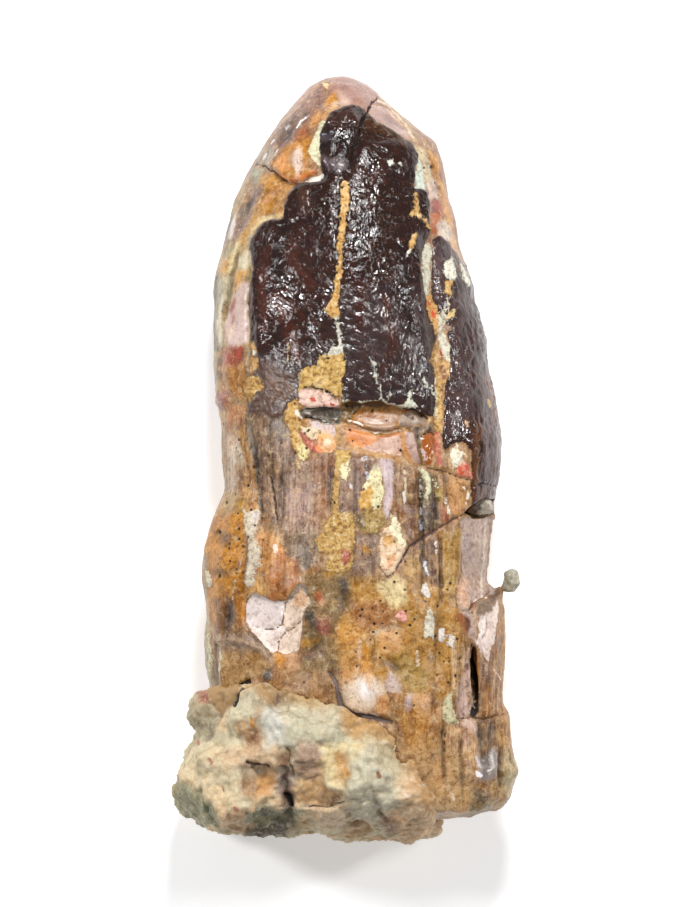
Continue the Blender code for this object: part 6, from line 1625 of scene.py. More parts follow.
@dataclass(frozen=True)
class ToothFinish:
    """Mineralised tooth: dark glassy enamel over tan dentine, set with hardener.

    The enamel gives wet, broken highlights off its wrinkles, the dentine a low satin with
    fine fibres, and the ochre and chalky crusts lie dull on both.
    """

    name: str = "mineralised enamel and dentine, hardened and unpolished"
    pore: str = "17120f"
    ior: float = 1.48
    fibre_mm: float = 0.34
    fibre_run_mm: float = 4.5
    bead_mm: float = 0.34
    bead_height: float = 0.05
    fold_turn: float = -1.0
    pore_cell_mm: float = 1.15
    enamel_rough: float = 0.34
    dentine_rough: float = 0.34
    crust_rough: float = 0.82
    crack_rough: float = 0.7
    fibre_height: float = 0.13
    grain_height: float = 0.018
    pore_depth: float = 0.1
    crack_depth: float = 0.16
    # finer than the real grain of 0.05 mm would show, so it is drawn about 0.2 mm
    grains: ClassVar[dict[str, Grain]] = {
        "grain": Grain(0.22, 3.0, 0.7), "torn": Grain(1.0 / 1.5, 6.0, 0.75),
        "mottle": Grain(1.0 / 0.95, 7.0, 0.72, 0.6),
        "blotch": Grain(0.75, 6.0, 0.7, 0.8), "clot": Grain(0.6, 5.0, 0.68, 0.5)}
    stains: ClassVar[tuple[Veil, ...]] = (
        Veil("fibre", 0.41, 0.59, 0.6, 0.0, "7d5c46", Blend.STAIN, "fibrous"),
        Veil("fibre", 0.41, 0.59, 0.0, 0.3, "e0c4a0", Blend.COVER, "fibrous"),
        Veil("mottle", 0.36, 0.5, 0.62, 0.0, "8a6647", Blend.STAIN),
        Veil("mottle", 0.53, 0.68, 0.0, 0.45, "e8cfa6"),
        Veil("hue", 0.54, 0.7, 0.0, 0.32, "c8843c"),
        Veil("hue", 0.32, 0.45, 0.3, 0.0, "85746c"))
    # blotches and grain in the dentine's colour, then painted shade: the last veil darkens where
    # the relief is low, in its hollows
    grime_and_hollow_shade: ClassVar[tuple[Veil, ...]] = (
        Veil("blotch", 0.36, 0.45, 0.6, 0.0, "80593c", Blend.STAIN, "calm"),
        Veil("blotch", 0.57, 0.65, 0.0, 0.34, "ecd4ae", Blend.COVER, "calm"),
        Veil("grain", 0.33, 0.44, 0.45, 0.0, "6e5038", Blend.STAIN),
        Veil("grain", 0.6, 0.72, 0.0, 0.25, "f0dcc0"),
        Veil("crest", -0.05, 0.35, 0.7, 0.0, "3a2a1e", Blend.STAIN))
    # near black, with painted lilac grey highlights on its crests and painted shade darkening the
    # hollows between them, brown where it is thin, milky where worn
    glaze_and_painted_light: ClassVar[tuple[Veil, ...]] = (
        Veil("crest", 0.6, 0.98, 0.0, 0.1, "7d6c6c", Blend.COVER, "painted_glint_spots"),
        Veil("crest", 0.1, 0.5, 0.6, 0.0, "120a08"),
        Veil("mottle", 0.48, 0.7, 0.0, 0.55, "44200f"),
        Veil("enamel_tint gloss", 0.38, 0.2, 0.0, 0.12, "a18f92", Blend.COVER, "worn"))
    # the facets send back the lamps as well, so the last veil keeps their colour deeper
    crusts: ClassVar[tuple[Veil, ...]] = (
        Veil("clot", 0.36, 0.5, 0.95, 0.0, "8a6238", Blend.STAIN, "dull"),
        Veil("mottle", 0.36, 0.5, 0.372, 0.0, "a97c4c", Blend.STAIN),
        Veil("mottle", 0.53, 0.68, 0.0, 0.45, "f2e2b8", Blend.COVER, "dull"),
        Veil("clot", 0.56, 0.66, 0.0, 0.55, "f4ead0", Blend.COVER, "dull"),
        Veil("deposit gloss", 0.66, 0.7, 0.0, 0.5, "b07a3c", Blend.STAIN))

    def add_patterns(self, kit: Palette) -> None:
        """Adds every pattern that the layers follow.

        Args:
            kit: The material so far; it takes the patterns by name.
        """
        node, found = kit.node, kit.found
        found["ragged"] = node("MapRange", (found["torn"], 0.3, 0.7, 0.0, 1.0))
        found["hue"] = node("TexNoise", {"Vector": kit.mm, "Scale": 0.62, "Detail": 6.0,
                                         "Roughness": 0.7, "W": 4.0},
                            noise_dimensions="4D")
        run = (1.0 / self.fibre_mm, 1.0 / self.fibre_run_mm, 1.0 / self.fibre_mm)
        fine = node("VectorMath", (kit.mm, run), operation="MULTIPLY")
        wide = node("VectorMath", (fine, (0.3, 0.4, 0.3)), operation="MULTIPLY")
        fine = node("TexNoise", {"Vector": fine, "Scale": 1.0, "Detail": 4.0,
                                 "Roughness": 0.62, "Distortion": 0.4})
        wide = node("TexNoise", {"Vector": wide, "Scale": 1.0, "Detail": 3.0,
                                 "Roughness": 0.6, "Distortion": 0.9})
        both = node("Math", (fine, wide), operation="ADD")
        found["fibre"] = node("Math", (both, 0.5), operation="MULTIPLY")
        found["calm"] = node("MapRange", (found["ground gloss"], 0.45, 0.6, 1.0, 0.35))
        found["painted_glint_spots"] = node("MapRange", (found["grain"], 0.47, 0.62, 0.0, 1.0))
        worn = node("MapRange", (found["enamel_tint gloss"], 0.08, 0.2, 0.0, 1.0))
        found["worn"] = node("Math", (worn, found["ragged"]), operation="MULTIPLY")
        found["dull"] = node("Math", (1.1, found["deposit gloss"]), operation="SUBTRACT")

    def add_masks(self, kit: Palette) -> None:
        """Adds the masks of enamel, crusts, flecks, cracks, pits and pores.

        Args:
            kit: The material so far; it takes the masks by name.
        """
        node, found = kit.node, kit.found
        loose = node("MapRange", (found["deposit gloss"], 0.35, 0.6, 0.8, 0.22))
        for name, edge, reach, soft in (
                ("enamel", "enamel_edge", 0.42, 0.05), ("crust", "deposit_edge", loose, 0.05),
                ("flecks", "fleck_edge", 0.4, 0.08), ("cracks", "crack_edge", 0.16, 0.06),
                ("pits", "pit_edge", 0.16, 0.05)):
            found[name] = kit.ragged_edge(edge, "ragged", reach, soft)
        pore = node("TexVoronoi", {"Vector": kit.mm, "Scale": 1.0 / self.pore_cell_mm})
        chance = node("SeparateColor", (pore.node.outputs["Color"],))
        size = node("Math", (found["dotted"], chance), operation="SUBTRACT")
        size = node("MapRange", (size, 0.0, 0.12, 0.0, 0.17))
        stray = node("Math", (size, pore), operation="SUBTRACT")
        stray = node("MapRange", (stray, -0.02, 0.05, 0.0, 0.9))
        found["dots"] = node("Math", (stray, found["pits"]), operation="MAXIMUM")

    def colour(self, kit: Palette) -> Any:
        """Lays dentine, enamel, crusts, flecks, pores and cracks over one another.

        Args:
            kit: The material so far, with its patterns and masks.

        Returns:
            Socket with the colour.
        """
        node, found = kit.node, kit.found
        base = kit.veil(found["ground"], self.stains)
        base = node("HueSaturation", {"Saturation": 1.12, "Value": 0.95, "Color": base},
                    take="Color")
        base = node("Mix", {0: found["calm"], 6: found["ground"], 7: base}, take=2,
                    data_type="RGBA")
        out = kit.veil(base, self.grime_and_hollow_shade)
        for mask, over in (("enamel", kit.veil(found["enamel_tint"], self.glaze_and_painted_light)),
                           ("crust", kit.veil(found["deposit"], self.crusts)),
                           ("flecks", found["fleck"]), ("dots", rgba(self.pore)),
                           ("cracks", found["crack"])):
            out = node("Mix", {0: found[mask], 6: out, 7: over}, take=2, data_type="RGBA")
        return out

    def roughness(self, kit: Palette) -> Any:
        """Mixes glassy enamel, satin dentine, and chalky crusts and cracks.

        Args:
            kit: The material so far, with its patterns and masks.

        Returns:
            Socket with the roughness.
        """
        node, found = kit.node, kit.found
        glassy, satin, chalky = (
            node("Math", (found[name], fall, rough), operation="MULTIPLY_ADD")
            for name, fall, rough in (("enamel_tint gloss", -0.6, self.enamel_rough),
                                      ("ground gloss", -0.55, self.dentine_rough),
                                      ("deposit gloss", -0.66, self.crust_rough)))
        rough = node("Math", (found["mottle"], 0.5, satin), operation="MULTIPLY_ADD")
        for mask, over in (("enamel", glassy), ("crust", chalky),
                           ("cracks", self.crack_rough)):
            rough = node("Mix", {0: found[mask], 2: rough, 3: over})
        return rough

    def relief(self, kit: Palette) -> Any:
        """Relief too fine for the mesh: fibres, beads on two slants, lumps and pores.

        Args:
            kit: The material so far, with its patterns and masks.

        Returns:
            Socket with the height in millimetres.
        """
        node, found = kit.node, kit.found
        cell = (1.0 / self.bead_mm, 0.5 / self.bead_mm, 1.0 / self.bead_mm)
        beads = []
        for turn in (0.0, self.fold_turn):
            lane = node("VectorRotate", {"Vector": kit.mm, "Angle": turn},
                        rotation_type="Z_AXIS")
            lane = node("VectorMath", (lane, cell), operation="MULTIPLY")
            beads.append(node("TexVoronoi", {"Vector": lane, "Scale": 1.0,
                                             "Smoothness": 0.5}, feature="SMOOTH_F1"))
        bead = node("Mix", {0: found["slant"], 2: beads[0], 3: beads[1]})
        bead = node("Math", (bead, -self.bead_height), operation="MULTIPLY")
        rippled = node("MapRange", (found["hue"], 0.38, 0.54, 0.15, 1.0))
        beaded = node("Math", (bead, rippled), operation="MULTIPLY")
        tall = node("Math", (found["fibre"], found["fibrous"]), operation="MULTIPLY")
        tall = node("Math", (tall, self.fibre_height), operation="MULTIPLY")
        tall = node("Math", (found["grain"], self.grain_height, tall),
                    operation="MULTIPLY_ADD")
        lumpy = node("Math", (found["deposit gloss"], -0.11, 0.1),
                     operation="MULTIPLY_ADD")
        lumpy = node("Math", (found["clot"], lumpy), operation="MULTIPLY")
        lumpy = node("Math", (lumpy, 2.2), operation="MULTIPLY")
        height = node("Mix", {0: found["enamel"], 2: tall, 3: beaded})
        height = node("Mix", {0: found["crust"], 2: height, 3: lumpy})
        for mask, depth in (("dots", self.pore_depth), ("cracks", self.crack_depth)):
            height = node("Math", (found[mask], -depth, height), operation="MULTIPLY_ADD")
        return height

    def make(self) -> bpy.types.Material:
        """Builds the layered material.

        Returns:
            The material; it reads what is kept at the vertices.
        """
        kit = Palette(self.name, ("enamel_edge", "deposit_edge", "fleck_edge",
                                  "crack_edge", "pit_edge", "fibrous", "dotted",
                                  "crest", "slant"),
                      ("ground", "enamel_tint", "deposit", "fleck", "crack"), self.grains)
        self.add_patterns(kit)
        self.add_masks(kit)
        return kit.finish(self.colour(kit), self.roughness(kit), self.relief(kit), self.ior)


@dataclass(frozen=True)
class StoneFinish:
    """Broken mudstone: chalky green grey clay with sandy grains and iron stains.

    Unpolished and porous, it scatters light softly and shows grain and small chips.
    """

    name: str = "mudstone, broken by hand"
    ior: float = 1.5
    grain_mm: float = 0.3
    clod_mm: float = 1.1
    rough: float = 0.86
    grain_height: float = 0.07
    clod_height: float = 0.16
    clay: ClassVar[tuple[Veil, ...]] = (
        Veil("grain", 0.34, 0.5, 0.22, 0.0, "77705a", Blend.STAIN),
        Veil("grain", 0.56, 0.72, 0.0, 0.5, "dcd6c0"))
    iron: ClassVar[tuple[Veil, ...]] = (
        Veil("stain", 0.56, 0.66, 0.0, 0.5, "a98358"),
        Veil("stain", 0.36, 0.46, 0.4, 0.0, "ded6c2"),
        Veil("clod", 0.5, 0.85, 0.0, 0.4, "8a7658", Blend.STAIN))

    def make(self) -> bpy.types.Material:
        """Builds the stone's material.

        Returns:
            The material; it reads what is kept at the vertices.
        """
        kit = Palette(self.name, ("fleck_edge", "crack_edge"), ("ground", "fleck", "crack"),
                      {"grain": Grain(self.grain_mm, 4.0, 0.7),
                       "cloud": Grain(1.0 / 0.45, 6.0, 0.62),
                       "stain": Grain(1.0 / 0.9, 6.0, 0.68, 0.8)})
        node, found = kit.node, kit.found
        found["clod"] = node("TexVoronoi", {"Vector": kit.mm, "Smoothness": 0.35,
                                            "Scale": 1.0 / self.clod_mm},
                             feature="SMOOTH_F1")
        out = kit.veil(found["ground"], self.clay)
        out = node("Mix", {0: 0.4, 6: out, 7: found["cloud"]}, take=2, data_type="RGBA",
                   blend_type=Blend.SOFT.value)
        out = kit.veil(out, self.iron)
        for name, ragged, reach in (("fleck", "cloud", 0.8), ("crack", "grain", 0.3)):
            mask = kit.ragged_edge(f"{name}_edge", ragged, reach, 0.1)
            out = node("Mix", {0: mask, 6: out, 7: found[name]}, take=2, data_type="RGBA")
        rough = node("Math", (found["ground gloss"], -0.35, self.rough),
                     operation="MULTIPLY_ADD")
        height = node("Math", (found["clod"], -self.clod_height), operation="MULTIPLY")
        height = node("Math", (found["grain"], self.grain_height, height),
                      operation="MULTIPLY_ADD")
        return kit.finish(out, rough, height, self.ior)


# ------------------------------------------------------------------ pieces
@dataclass(frozen=True)
class Nudge:
    """Pushes part of an outline along one axis, in millimetres.

    Each gate is an axis, where on it the push is nothing and where it is full.
    """

    axis: int
    push: float
    gates: tuple[tuple[int, float, float], ...]


OUTLINE_NUDGES = (
    Nudge(Y, 0.5, ((Y, 38.0, 50.0),)),
    Nudge(X, -0.25, ((X, 1.0, 8.0), (Y, 43.0, 45.5), (Y, 51.5, 48.0))),
    Nudge(X, -0.28, ((X, 10.0, 16.0), (Y, 20.0, 22.5), (Y, 33.0, 29.0))),
    Nudge(X, -0.48, ((X, 12.0, 18.0), (Y, 24.0, 21.0), (Y, 2.0, 5.5))),
)


@dataclass
class Skin:
    """The tooth's surface point by point, as its relief needs it.

    The plan is the points across and along, shifted a little. Outer is how far each
    point faces up, 0 to 1, and so are fibrous and gritty. The edges are signed distances
    from enamel and crusts, in millimetres, and crust is the crusts' colour and gloss.
    """

    spots: np.ndarray
    plan: np.ndarray
    outer: np.ndarray
    enamel_edge: np.ndarray
    crust: np.ndarray
    crust_edge: np.ndarray
    fibrous: np.ndarray
    gritty: np.ndarray


@dataclass
class Tooth:
    """The tooth: a carved and painted copy of its CAD solid.

    Lengths are millimetres. A pattern's size is given across the tooth and along it. A
    slope says at what distance from an edge a height starts and where it is full. A
    wander is the size of its waves, where each axis starts in the noise, and its reach.
    """

    voxel: float = 0.27
    passes: int = 26
    triangles: int = 192000
    splinter_spur: tuple[Any, ...] = ((21.0, -18.4, 15.9), (21.6, -17.75, 15.9), 1.5)
    sway: tuple[tuple[float, float], ...] = ((1.25, 0.15), (0.55, 0.08))
    outer_turn: tuple[float, float] = (-0.32, 0.06)
    enamel_lift: float = 0.24
    enamel_slope: tuple[float, float] = (-0.12, 0.22)
    enamel_wander: tuple[float, float, float] = (2.2, 7.0, 0.55)
    plain_enamel: str = "33221e"
    plain_dentine: str = "a9835c"
    glaze_warmth: tuple[float, float, float] = (0.86, 0.72, 0.68)
    ridge_size: tuple[float, float] = (1.0, 2.6)
    fine_ridge_size: tuple[float, float] = (0.58, 1.2)
    bead_size: tuple[float, float] = (0.85, 1.25)
    wrinkle: float = 0.15
    fine_wrinkle: float = 0.07
    bead: float = 0.11
    bead_slope: tuple[float, float] = (0.5, 0.12)
    bead_share: tuple[float, float] = (0.35, 0.5)
    rough_size: float = 4.2
    fold_slant: float = -57.0
    fold_side: tuple[float, float] = (6.0, 1.0)
    fold_top: tuple[float, float] = (28.0, 22.0)
    bead_foot: tuple[float, float] = (34.0, 22.0)
    crust_lift: float = 0.15
    crust_slope: tuple[float, float] = (-0.1, 0.22)
    crust_size: float = 0.8
    bark_wander: tuple[float, float, float] = (3.0, 5.0, 0.5)
    plain_fibrous: float = 0.25
    plain_gritty: float = 0.05
    dull_gloss: tuple[float, float] = (0.42, 0.55)
    fibre_sizes: tuple[tuple[float, float, float], ...] = (
        (2.3, 16.0, 0.5), (1.1, 8.0, 0.35), (0.55, 4.0, 0.22))
    fibre_lift: float = 0.2
    flake_sizes: tuple[tuple[float, float], ...] = ((1.5, 3.6), (0.7, 1.9))
    flake_lift: float = 0.2
    flake_tint: float = 0.42
    swell_size: float = 3.4
    swell_lift: float = 0.1
    grit_size: float = 0.85
    grit_lift: float = 0.12
    crack_depth: float = 0.42
    crack_slope: tuple[float, float] = (-0.2, 0.12)
    pit_radius: float = 0.15
    pit_depth: float = 0.16
    pit_slope: tuple[float, float] = (-0.14, 0.1)
    panel_drop: float = 0.34
    scar_drop: float = 0.26
    drop_slope: tuple[float, float] = (-0.12, 0.12)
    tear: float = 0.22
    tear_size: float = 1.7
    floor_fade: float = 1.2
    seed: int = 7

    def __post_init__(self) -> None:
        """Starts the noises."""
        self.noise = Noise(self.seed)
        self.other = Noise(self.seed + 1)

    def wobble(self, spots: np.ndarray) -> np.ndarray:
        """Shifts the plan a little so that no edge runs straight.

        Args:
            spots: Points in millimetres.

        Returns:
            The points across and along, shifted.
        """
        (wide, far), (small, near) = self.sway
        shift = np.column_stack((self.noise(spots / wide), self.other(spots / wide)))
        fine = np.column_stack((self.other(spots / small + 5.0),
                                self.noise(spots / small)))
        return spots[:, :2] + far * shift + near * fine

    def true_outline(self, spots: np.ndarray) -> np.ndarray:
        """Fills out the tips of crown and splinter and draws in the crown's sides.

        Args:
            spots: Points in millimetres.

        Returns:
            The moved points.
        """
        out = spots.copy()
        for nudge in OUTLINE_NUDGES:
            share = np.full(len(spots), nudge.push)
            for axis, none, full in nudge.gates:
                share *= ease(spots[:, axis], none, full)
            out[:, nudge.axis] += share
        return drawn_out(out, *self.splinter_spur)

    def drift(self, spots: np.ndarray, noise: Noise, size: float, start: float,
              reach: float) -> np.ndarray:
        """Moves points a little, so that no pattern runs straight.

        Args:
            spots: Points in millimetres.
            noise: The noise that moves them.
            size: How wide its waves are.
            start: Where in the noise each axis starts.
            reach: How far it moves them.

        Returns:
            The moved points.
        """
        return spots + reach * np.column_stack([noise(spots / size + start * axis)
                                                for axis in (X, Y, Z)])

    def named_reach(self, marks: tuple[Mark, ...], start: str,
                    plan: np.ndarray) -> np.ndarray:
        """Signed distance from some of the marks.

        Args:
            marks: The marks to pick from.
            start: How the picked marks' names start.
            plan: Points across and along the tooth, in millimetres.

        Returns:
            Millimetres, above 0 inside a mark.
        """
        found = [mark.reach(plan) for mark in marks if mark.name.startswith(start)]
        return np.max(found, axis=0)

    def lay_both(self, front: tuple[Mark, ...], back: tuple[Mark, ...],
                 plan: np.ndarray, outer: np.ndarray) -> tuple[np.ndarray, np.ndarray]:
        """Lays hard-edged marks on the outer face and others on the inner face.

        Args:
            front: The outer face's marks.
            back: The inner face's marks.
            plan: Points across and along the tooth, in millimetres.
            outer: How far each point faces up, 0 to 1.

        Returns:
            Colour and gloss at each point, and the signed distance from the nearest edge.
        """
        paint, edge = lay_crisp(front, plan, outer)
        paint_in, edge_in = lay_crisp(back, plan, 1.0 - outer)
        paint[edge_in > edge] = paint_in[edge_in > edge]
        return paint, np.maximum(edge, edge_in)

    def enamel_wrinkles(self, spots: np.ndarray) -> tuple[np.ndarray, ...]:
        """Wrinkles of the enamel: beads near the tip, slanting folds lower down.

        Args:
            spots: Points in millimetres.

        Returns:
            Height in millimetres, how near each point is to a crest, 0 to 1, and how
            much of it follows the slanting folds, 0 to 1.
        """
        run = self.drift(spots, self.noise, *self.enamel_wander)
        slant = ease(run[:, X], *self.fold_side) * ease(run[:, Y], *self.fold_top)
        turn = math.radians(self.fold_slant)
        across = run[:, X] * math.cos(turn) - run[:, Y] * math.sin(turn)
        along = run[:, X] * math.sin(turn) + run[:, Y] * math.cos(turn)
        long_ridge = np.zeros(len(spots))
        short_ridge = np.zeros(len(spots))
        for lane, share in ((run, 1.0 - slant),
                            (np.column_stack((across, along, run[:, Z])), slant)):
            long_ridge += share * self.noise.ridged(in_cells(lane, *self.ridge_size))
            short_ridge += share * self.other.ridged(
                in_cells(lane, *self.fine_ridge_size) + 31.0)
        gap, _, tag = cells(in_cells(run, *self.bead_size), 17)
        beads = ease(gap, *self.bead_slope) * ease(tag, *self.bead_share)
        rough = ease(self.other.layered(spots / self.rough_size + 40.0, 2), -0.5, 0.35)
        low = ease(spots[:, Y], *self.bead_foot)
        folds = 0.3 + 0.7 * low
        height = (self.wrinkle * folds * (long_ridge - 0.4) * (0.35 + 0.75 * rough)
                  + self.fine_wrinkle * (short_ridge - 0.4) * (0.25 + 0.9 * rough)
                  + self.bead * beads * (1.0 - 0.6 * low) * (0.2 + 0.9 * rough))
        crest = 0.45 * long_ridge * folds + 0.35 * short_ridge + 0.35 * beads
        return height, crest, slant

    def flakes(self, run: np.ndarray) -> tuple[np.ndarray, np.ndarray]:
        """Thin flakes of bark, each at its own level.

        Args:
            run: Points in millimetres, already drifted.

        Returns:
            A number from 0 to 1 for each flake, and how far its rim is, in cells.
        """
        large, small = self.flake_sizes
        _, wide, coarse = cells(in_cells(run, *large), 23)
        _, narrow, fine = cells(in_cells(run, *small) + 11.0, 29)
        return 0.6 * coarse + 0.4 * fine, np.minimum(wide, narrow)

    def relief(self, skin: Skin, run: np.ndarray) -> tuple[np.ndarray, ...]:
        """Height of everything but the cracks and the pits.

        Args:
            skin: The tooth's surface.
            run: Its points in millimetres, drifted.

        Returns:
            Height in millimetres, how near each point is to a crest, 0 to 1, and how
            much of the enamel follows its slanting folds, 0 to 1.
        """
        spots, plan, outer = skin.spots, skin.plan, skin.outer
        wrinkles, crest, slant = self.enamel_wrinkles(spots)
        in_enamel = ease(skin.enamel_edge, *self.enamel_slope)
        fibres = np.zeros(len(spots))
        for maker, (wide, long, share) in zip((self.noise, self.noise, self.other),
                                              self.fibre_sizes):
            fibres += share * maker.ridged(in_cells(run, wide, long))
        lumps, _, _ = cells(spots / self.grit_size, 11)
        tag, margin = self.flakes(run)
        shiny = ease(skin.crust[:, 3], *self.dull_gloss)
        calm = 1.0 - 0.85 * shiny * ease(skin.crust_edge, -0.1, 0.1)
        bare = (1.0 - in_enamel) * calm
        lift = self.swell_lift * self.noise.layered(spots / self.swell_size, 3) * calm
        lift += in_enamel * (self.enamel_lift + wrinkles)
        lift += bare * skin.fibrous * self.fibre_lift * (fibres - 0.35)
        lift += (bare * skin.fibrous * self.flake_lift * (tag - 0.5)
                 * ease(margin, 0.0, 0.12))
        lift += bare * skin.gritty * self.grit_lift * (0.55 - lumps)
        dull = ease(skin.crust_edge, *self.crust_slope) * (1.0 - shiny)
        lumpy = self.other.layered(spots / self.crust_size, 2)
        lift += dull * self.crust_lift * (0.8 + 0.9 * lumpy)
        for crease in FOLDS:
            lift += outer * crease.inside(plan) * crease.strength
        for start, drop in (("smooth panel", self.panel_drop), ("scar", self.scar_drop)):
            lift -= outer * drop * ease(self.named_reach(DEPOSITS, start, plan),
                                        *self.drop_slope)
        crest = np.clip(in_enamel * crest + (1.0 - in_enamel) * (0.35 + 0.9 * lift),
                        -0.5, 1.0)
        return lift, crest, slant

    def pit_edges(self, spots: np.ndarray, inner: np.ndarray) -> np.ndarray:
        """Signed distance from the rims of the pits.

        Args:
            spots: Points in millimetres.
            inner: How far each point faces down, 0 to 1.

        Returns:
            Millimetres, above 0 inside a pit.
        """
        gap = np.full(len(spots), FAR)
        for number, pit in enumerate(off_sheet(PITS)):
            size = 1.0 + 0.35 * math.sin(number * 2.4)
            gap = np.minimum(gap, np.hypot(*(spots[:, :2] - pit).T) / size)
        return self.pit_radius - gap - inner * FAR

    def carve_and_paint(self, obj: bpy.types.Object) -> None:
        """Moves the vertices into relief and stores the colours.

        Args:
            obj: The tooth's even mesh.
        """
        move_vertices(obj, self.true_outline(vertex_places(obj)))
        spots, normals = vertex_places(obj), vertex_normals(obj)
        plan = self.wobble(spots)
        outer = ease(normals[:, Z], *self.outer_turn)
        inner = 1.0 - outer

        glaze_and_painted_light, enamel = lay_crisp(ENAMEL_OUTLINES, plan, outer)
        _, enamel_in = lay_crisp(INNER_ENAMEL, plan, inner)
        enamel = np.maximum(enamel, enamel_in)
        glaze_and_painted_light = airbrush(glaze_and_painted_light, ENAMEL_TINTS, plan, outer)
        plain = flat_paint(self.plain_enamel, 0.4)
        glaze_and_painted_light += (ease(enamel_in, -0.5, 0.0) * inner)[:, None] * (plain - glaze_and_painted_light)
        glaze_and_painted_light[:, :3] *= self.glaze_warmth
        crust, crust_edge = self.lay_both(DEPOSITS, INNER_DEPOSITS, plan, outer)
        fleck, fleck_edge = lay_crisp(FLECKS, plan, outer)
        split, crack_edge = self.lay_both(CRACKS, INNER_CRACKS, plan, outer)

        base = np.tile(flat_paint(self.plain_dentine, 0.4), (len(spots), 1))
        torn = plan + self.tear * np.column_stack((
            self.noise.layered(spots / self.tear_size + 3.0, 4, 0.62),
            self.other.layered(spots / self.tear_size + 9.0, 4, 0.62)))
        ground = airbrush(base, INNER_GROUND, torn, inner)
        ground = airbrush(ground, GROUND_TINTS, torn, outer)
        fibrous = zone_level(self.plain_fibrous, FIBROUS, plan)
        run = self.drift(spots, self.other, *self.bark_wander)
        tag, _ = self.flakes(run)
        ground[:, :3] *= (1.0 + self.flake_tint * (tag - 0.5)
                          * (0.35 + 0.65 * fibrous))[:, None]
        pit_edge = self.pit_edges(spots, inner)

        skin = Skin(spots, plan, outer, enamel, crust, crust_edge, fibrous,
                    zone_level(self.plain_gritty, GRITTY, plan))
        lift, crest, slant = self.relief(skin, run)
        lift -= ease(crack_edge, *self.crack_slope) * self.crack_depth
        lift -= ease(pit_edge, *self.pit_slope) * self.pit_depth
        lift *= ease(spots[:, Z], 0.0, self.floor_fade)
        move_vertices(obj, spots + normals * lift[:, None])

        keep_colours(obj, ground=ground, enamel_tint=glaze_and_painted_light, deposit=crust, fleck=fleck,
                     crack=split)
        keep_numbers(obj, enamel_edge=enamel, deposit_edge=crust_edge,
                     fleck_edge=fleck_edge, crack_edge=crack_edge, pit_edge=pit_edge,
                     fibrous=fibrous, dotted=zone_level(0.0, DOTTED, plan) * outer,
                     crest=crest, slant=slant)

    def build(self) -> bpy.types.Object:
        """Makes the tooth and puts it in place of its CAD solid.

        Returns:
            The finished piece.
        """
        blank = Blank("tooth", "tooth_surface", self.voxel, self.passes, self.triangles)
        obj = blank.make()
        self.carve_and_paint(obj)
        blank.thin(obj)
        dress(obj, ToothFinish().make())
        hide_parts("tooth")
        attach(obj, "root")
        return obj


@dataclass
class Mudstone:
    """The lump of mudstone on the broken root. Lengths are millimetres."""

    voxel: float = 0.3
    passes: int = 8
    triangles: int = 110000
    outer_turn: tuple[float, float] = (-0.45, 0.0)
    sway: tuple[float, float] = (1.6, 0.45)
    clay: str = "cbbf9e"
    warm_clay: str = "cfac80"
    warm_size: float = 5.0
    lump_size: float = 3.2
    lump: float = 0.5
    clod_size: float = 2.6
    pebble_size: float = 1.0
    pebble: float = 0.28
    crumb_size: float = 0.6
    crumb: float = 0.16
    crack_depth: float = 0.7
    crack_slope: tuple[float, float] = (-0.3, 0.2)
    floor_fade: float = 1.2
    seed: int = 21

    def carve_and_paint(self, obj: bpy.types.Object) -> None:
        """Moves the vertices into relief and stores the colours.

        Args:
            obj: The lump's even mesh.
        """
        spots, normals = vertex_places(obj), vertex_normals(obj)
        noise, other = Noise(self.seed), Noise(self.seed + 1)
        wide, far = self.sway
        shift = np.column_stack((noise(spots / wide), other(spots / wide)))
        plan = spots[:, :2] + far * shift
        outer = ease(normals[:, Z], *self.outer_turn)
        clay, warm = flat_paint(self.clay, 0.3), flat_paint(self.warm_clay, 0.3)
        share = ease(noise.layered(spots / self.warm_size, 3), -0.3, 0.35)[:, None]
        ground = airbrush(clay + share * (warm - clay), MUDSTONE_TINTS, plan, 0.85 * outer)
        fleck, fleck_edge = lay_crisp(MUDSTONE_FLECKS, plan, outer)
        split, crack_edge = lay_crisp(MUDSTONE_CRACKS, plan, outer)
        _, margin, tag = cells(spots / self.clod_size, 5)
        small, _, _ = cells(spots / self.pebble_size, 6)
        lift = self.lump * (noise.layered(spots / self.lump_size, 3) * 0.8
                            + 0.9 * (tag - 0.5) * ease(margin, 0.0, 0.2))
        for crease in MUDSTONE_FOLDS:
            lift += outer * crease.inside(plan) * crease.strength
        lift += (self.pebble * (0.5 - small)
                 + self.crumb * other.layered(spots / self.crumb_size, 2))
        lift -= ease(crack_edge, *self.crack_slope) * self.crack_depth
        free = ease(spots[:, Z], 0.0, self.floor_fade)
        move_vertices(obj, spots + normals * (lift * free)[:, None])
        keep_colours(obj, ground=ground, fleck=fleck, crack=split)
        keep_numbers(obj, fleck_edge=fleck_edge, crack_edge=crack_edge)

    def build(self) -> bpy.types.Object:
        """Makes the lump and puts it in place of its CAD solid.

        Returns:
            The finished piece.
        """
        blank = Blank("matrix", "mudstone_surface", self.voxel, self.passes,
                      self.triangles)
        obj = blank.make()
        self.carve_and_paint(obj)
        blank.thin(obj)
        dress(obj, StoneFinish().make())
        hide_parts("matrix")
        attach(obj, "root")
        return obj


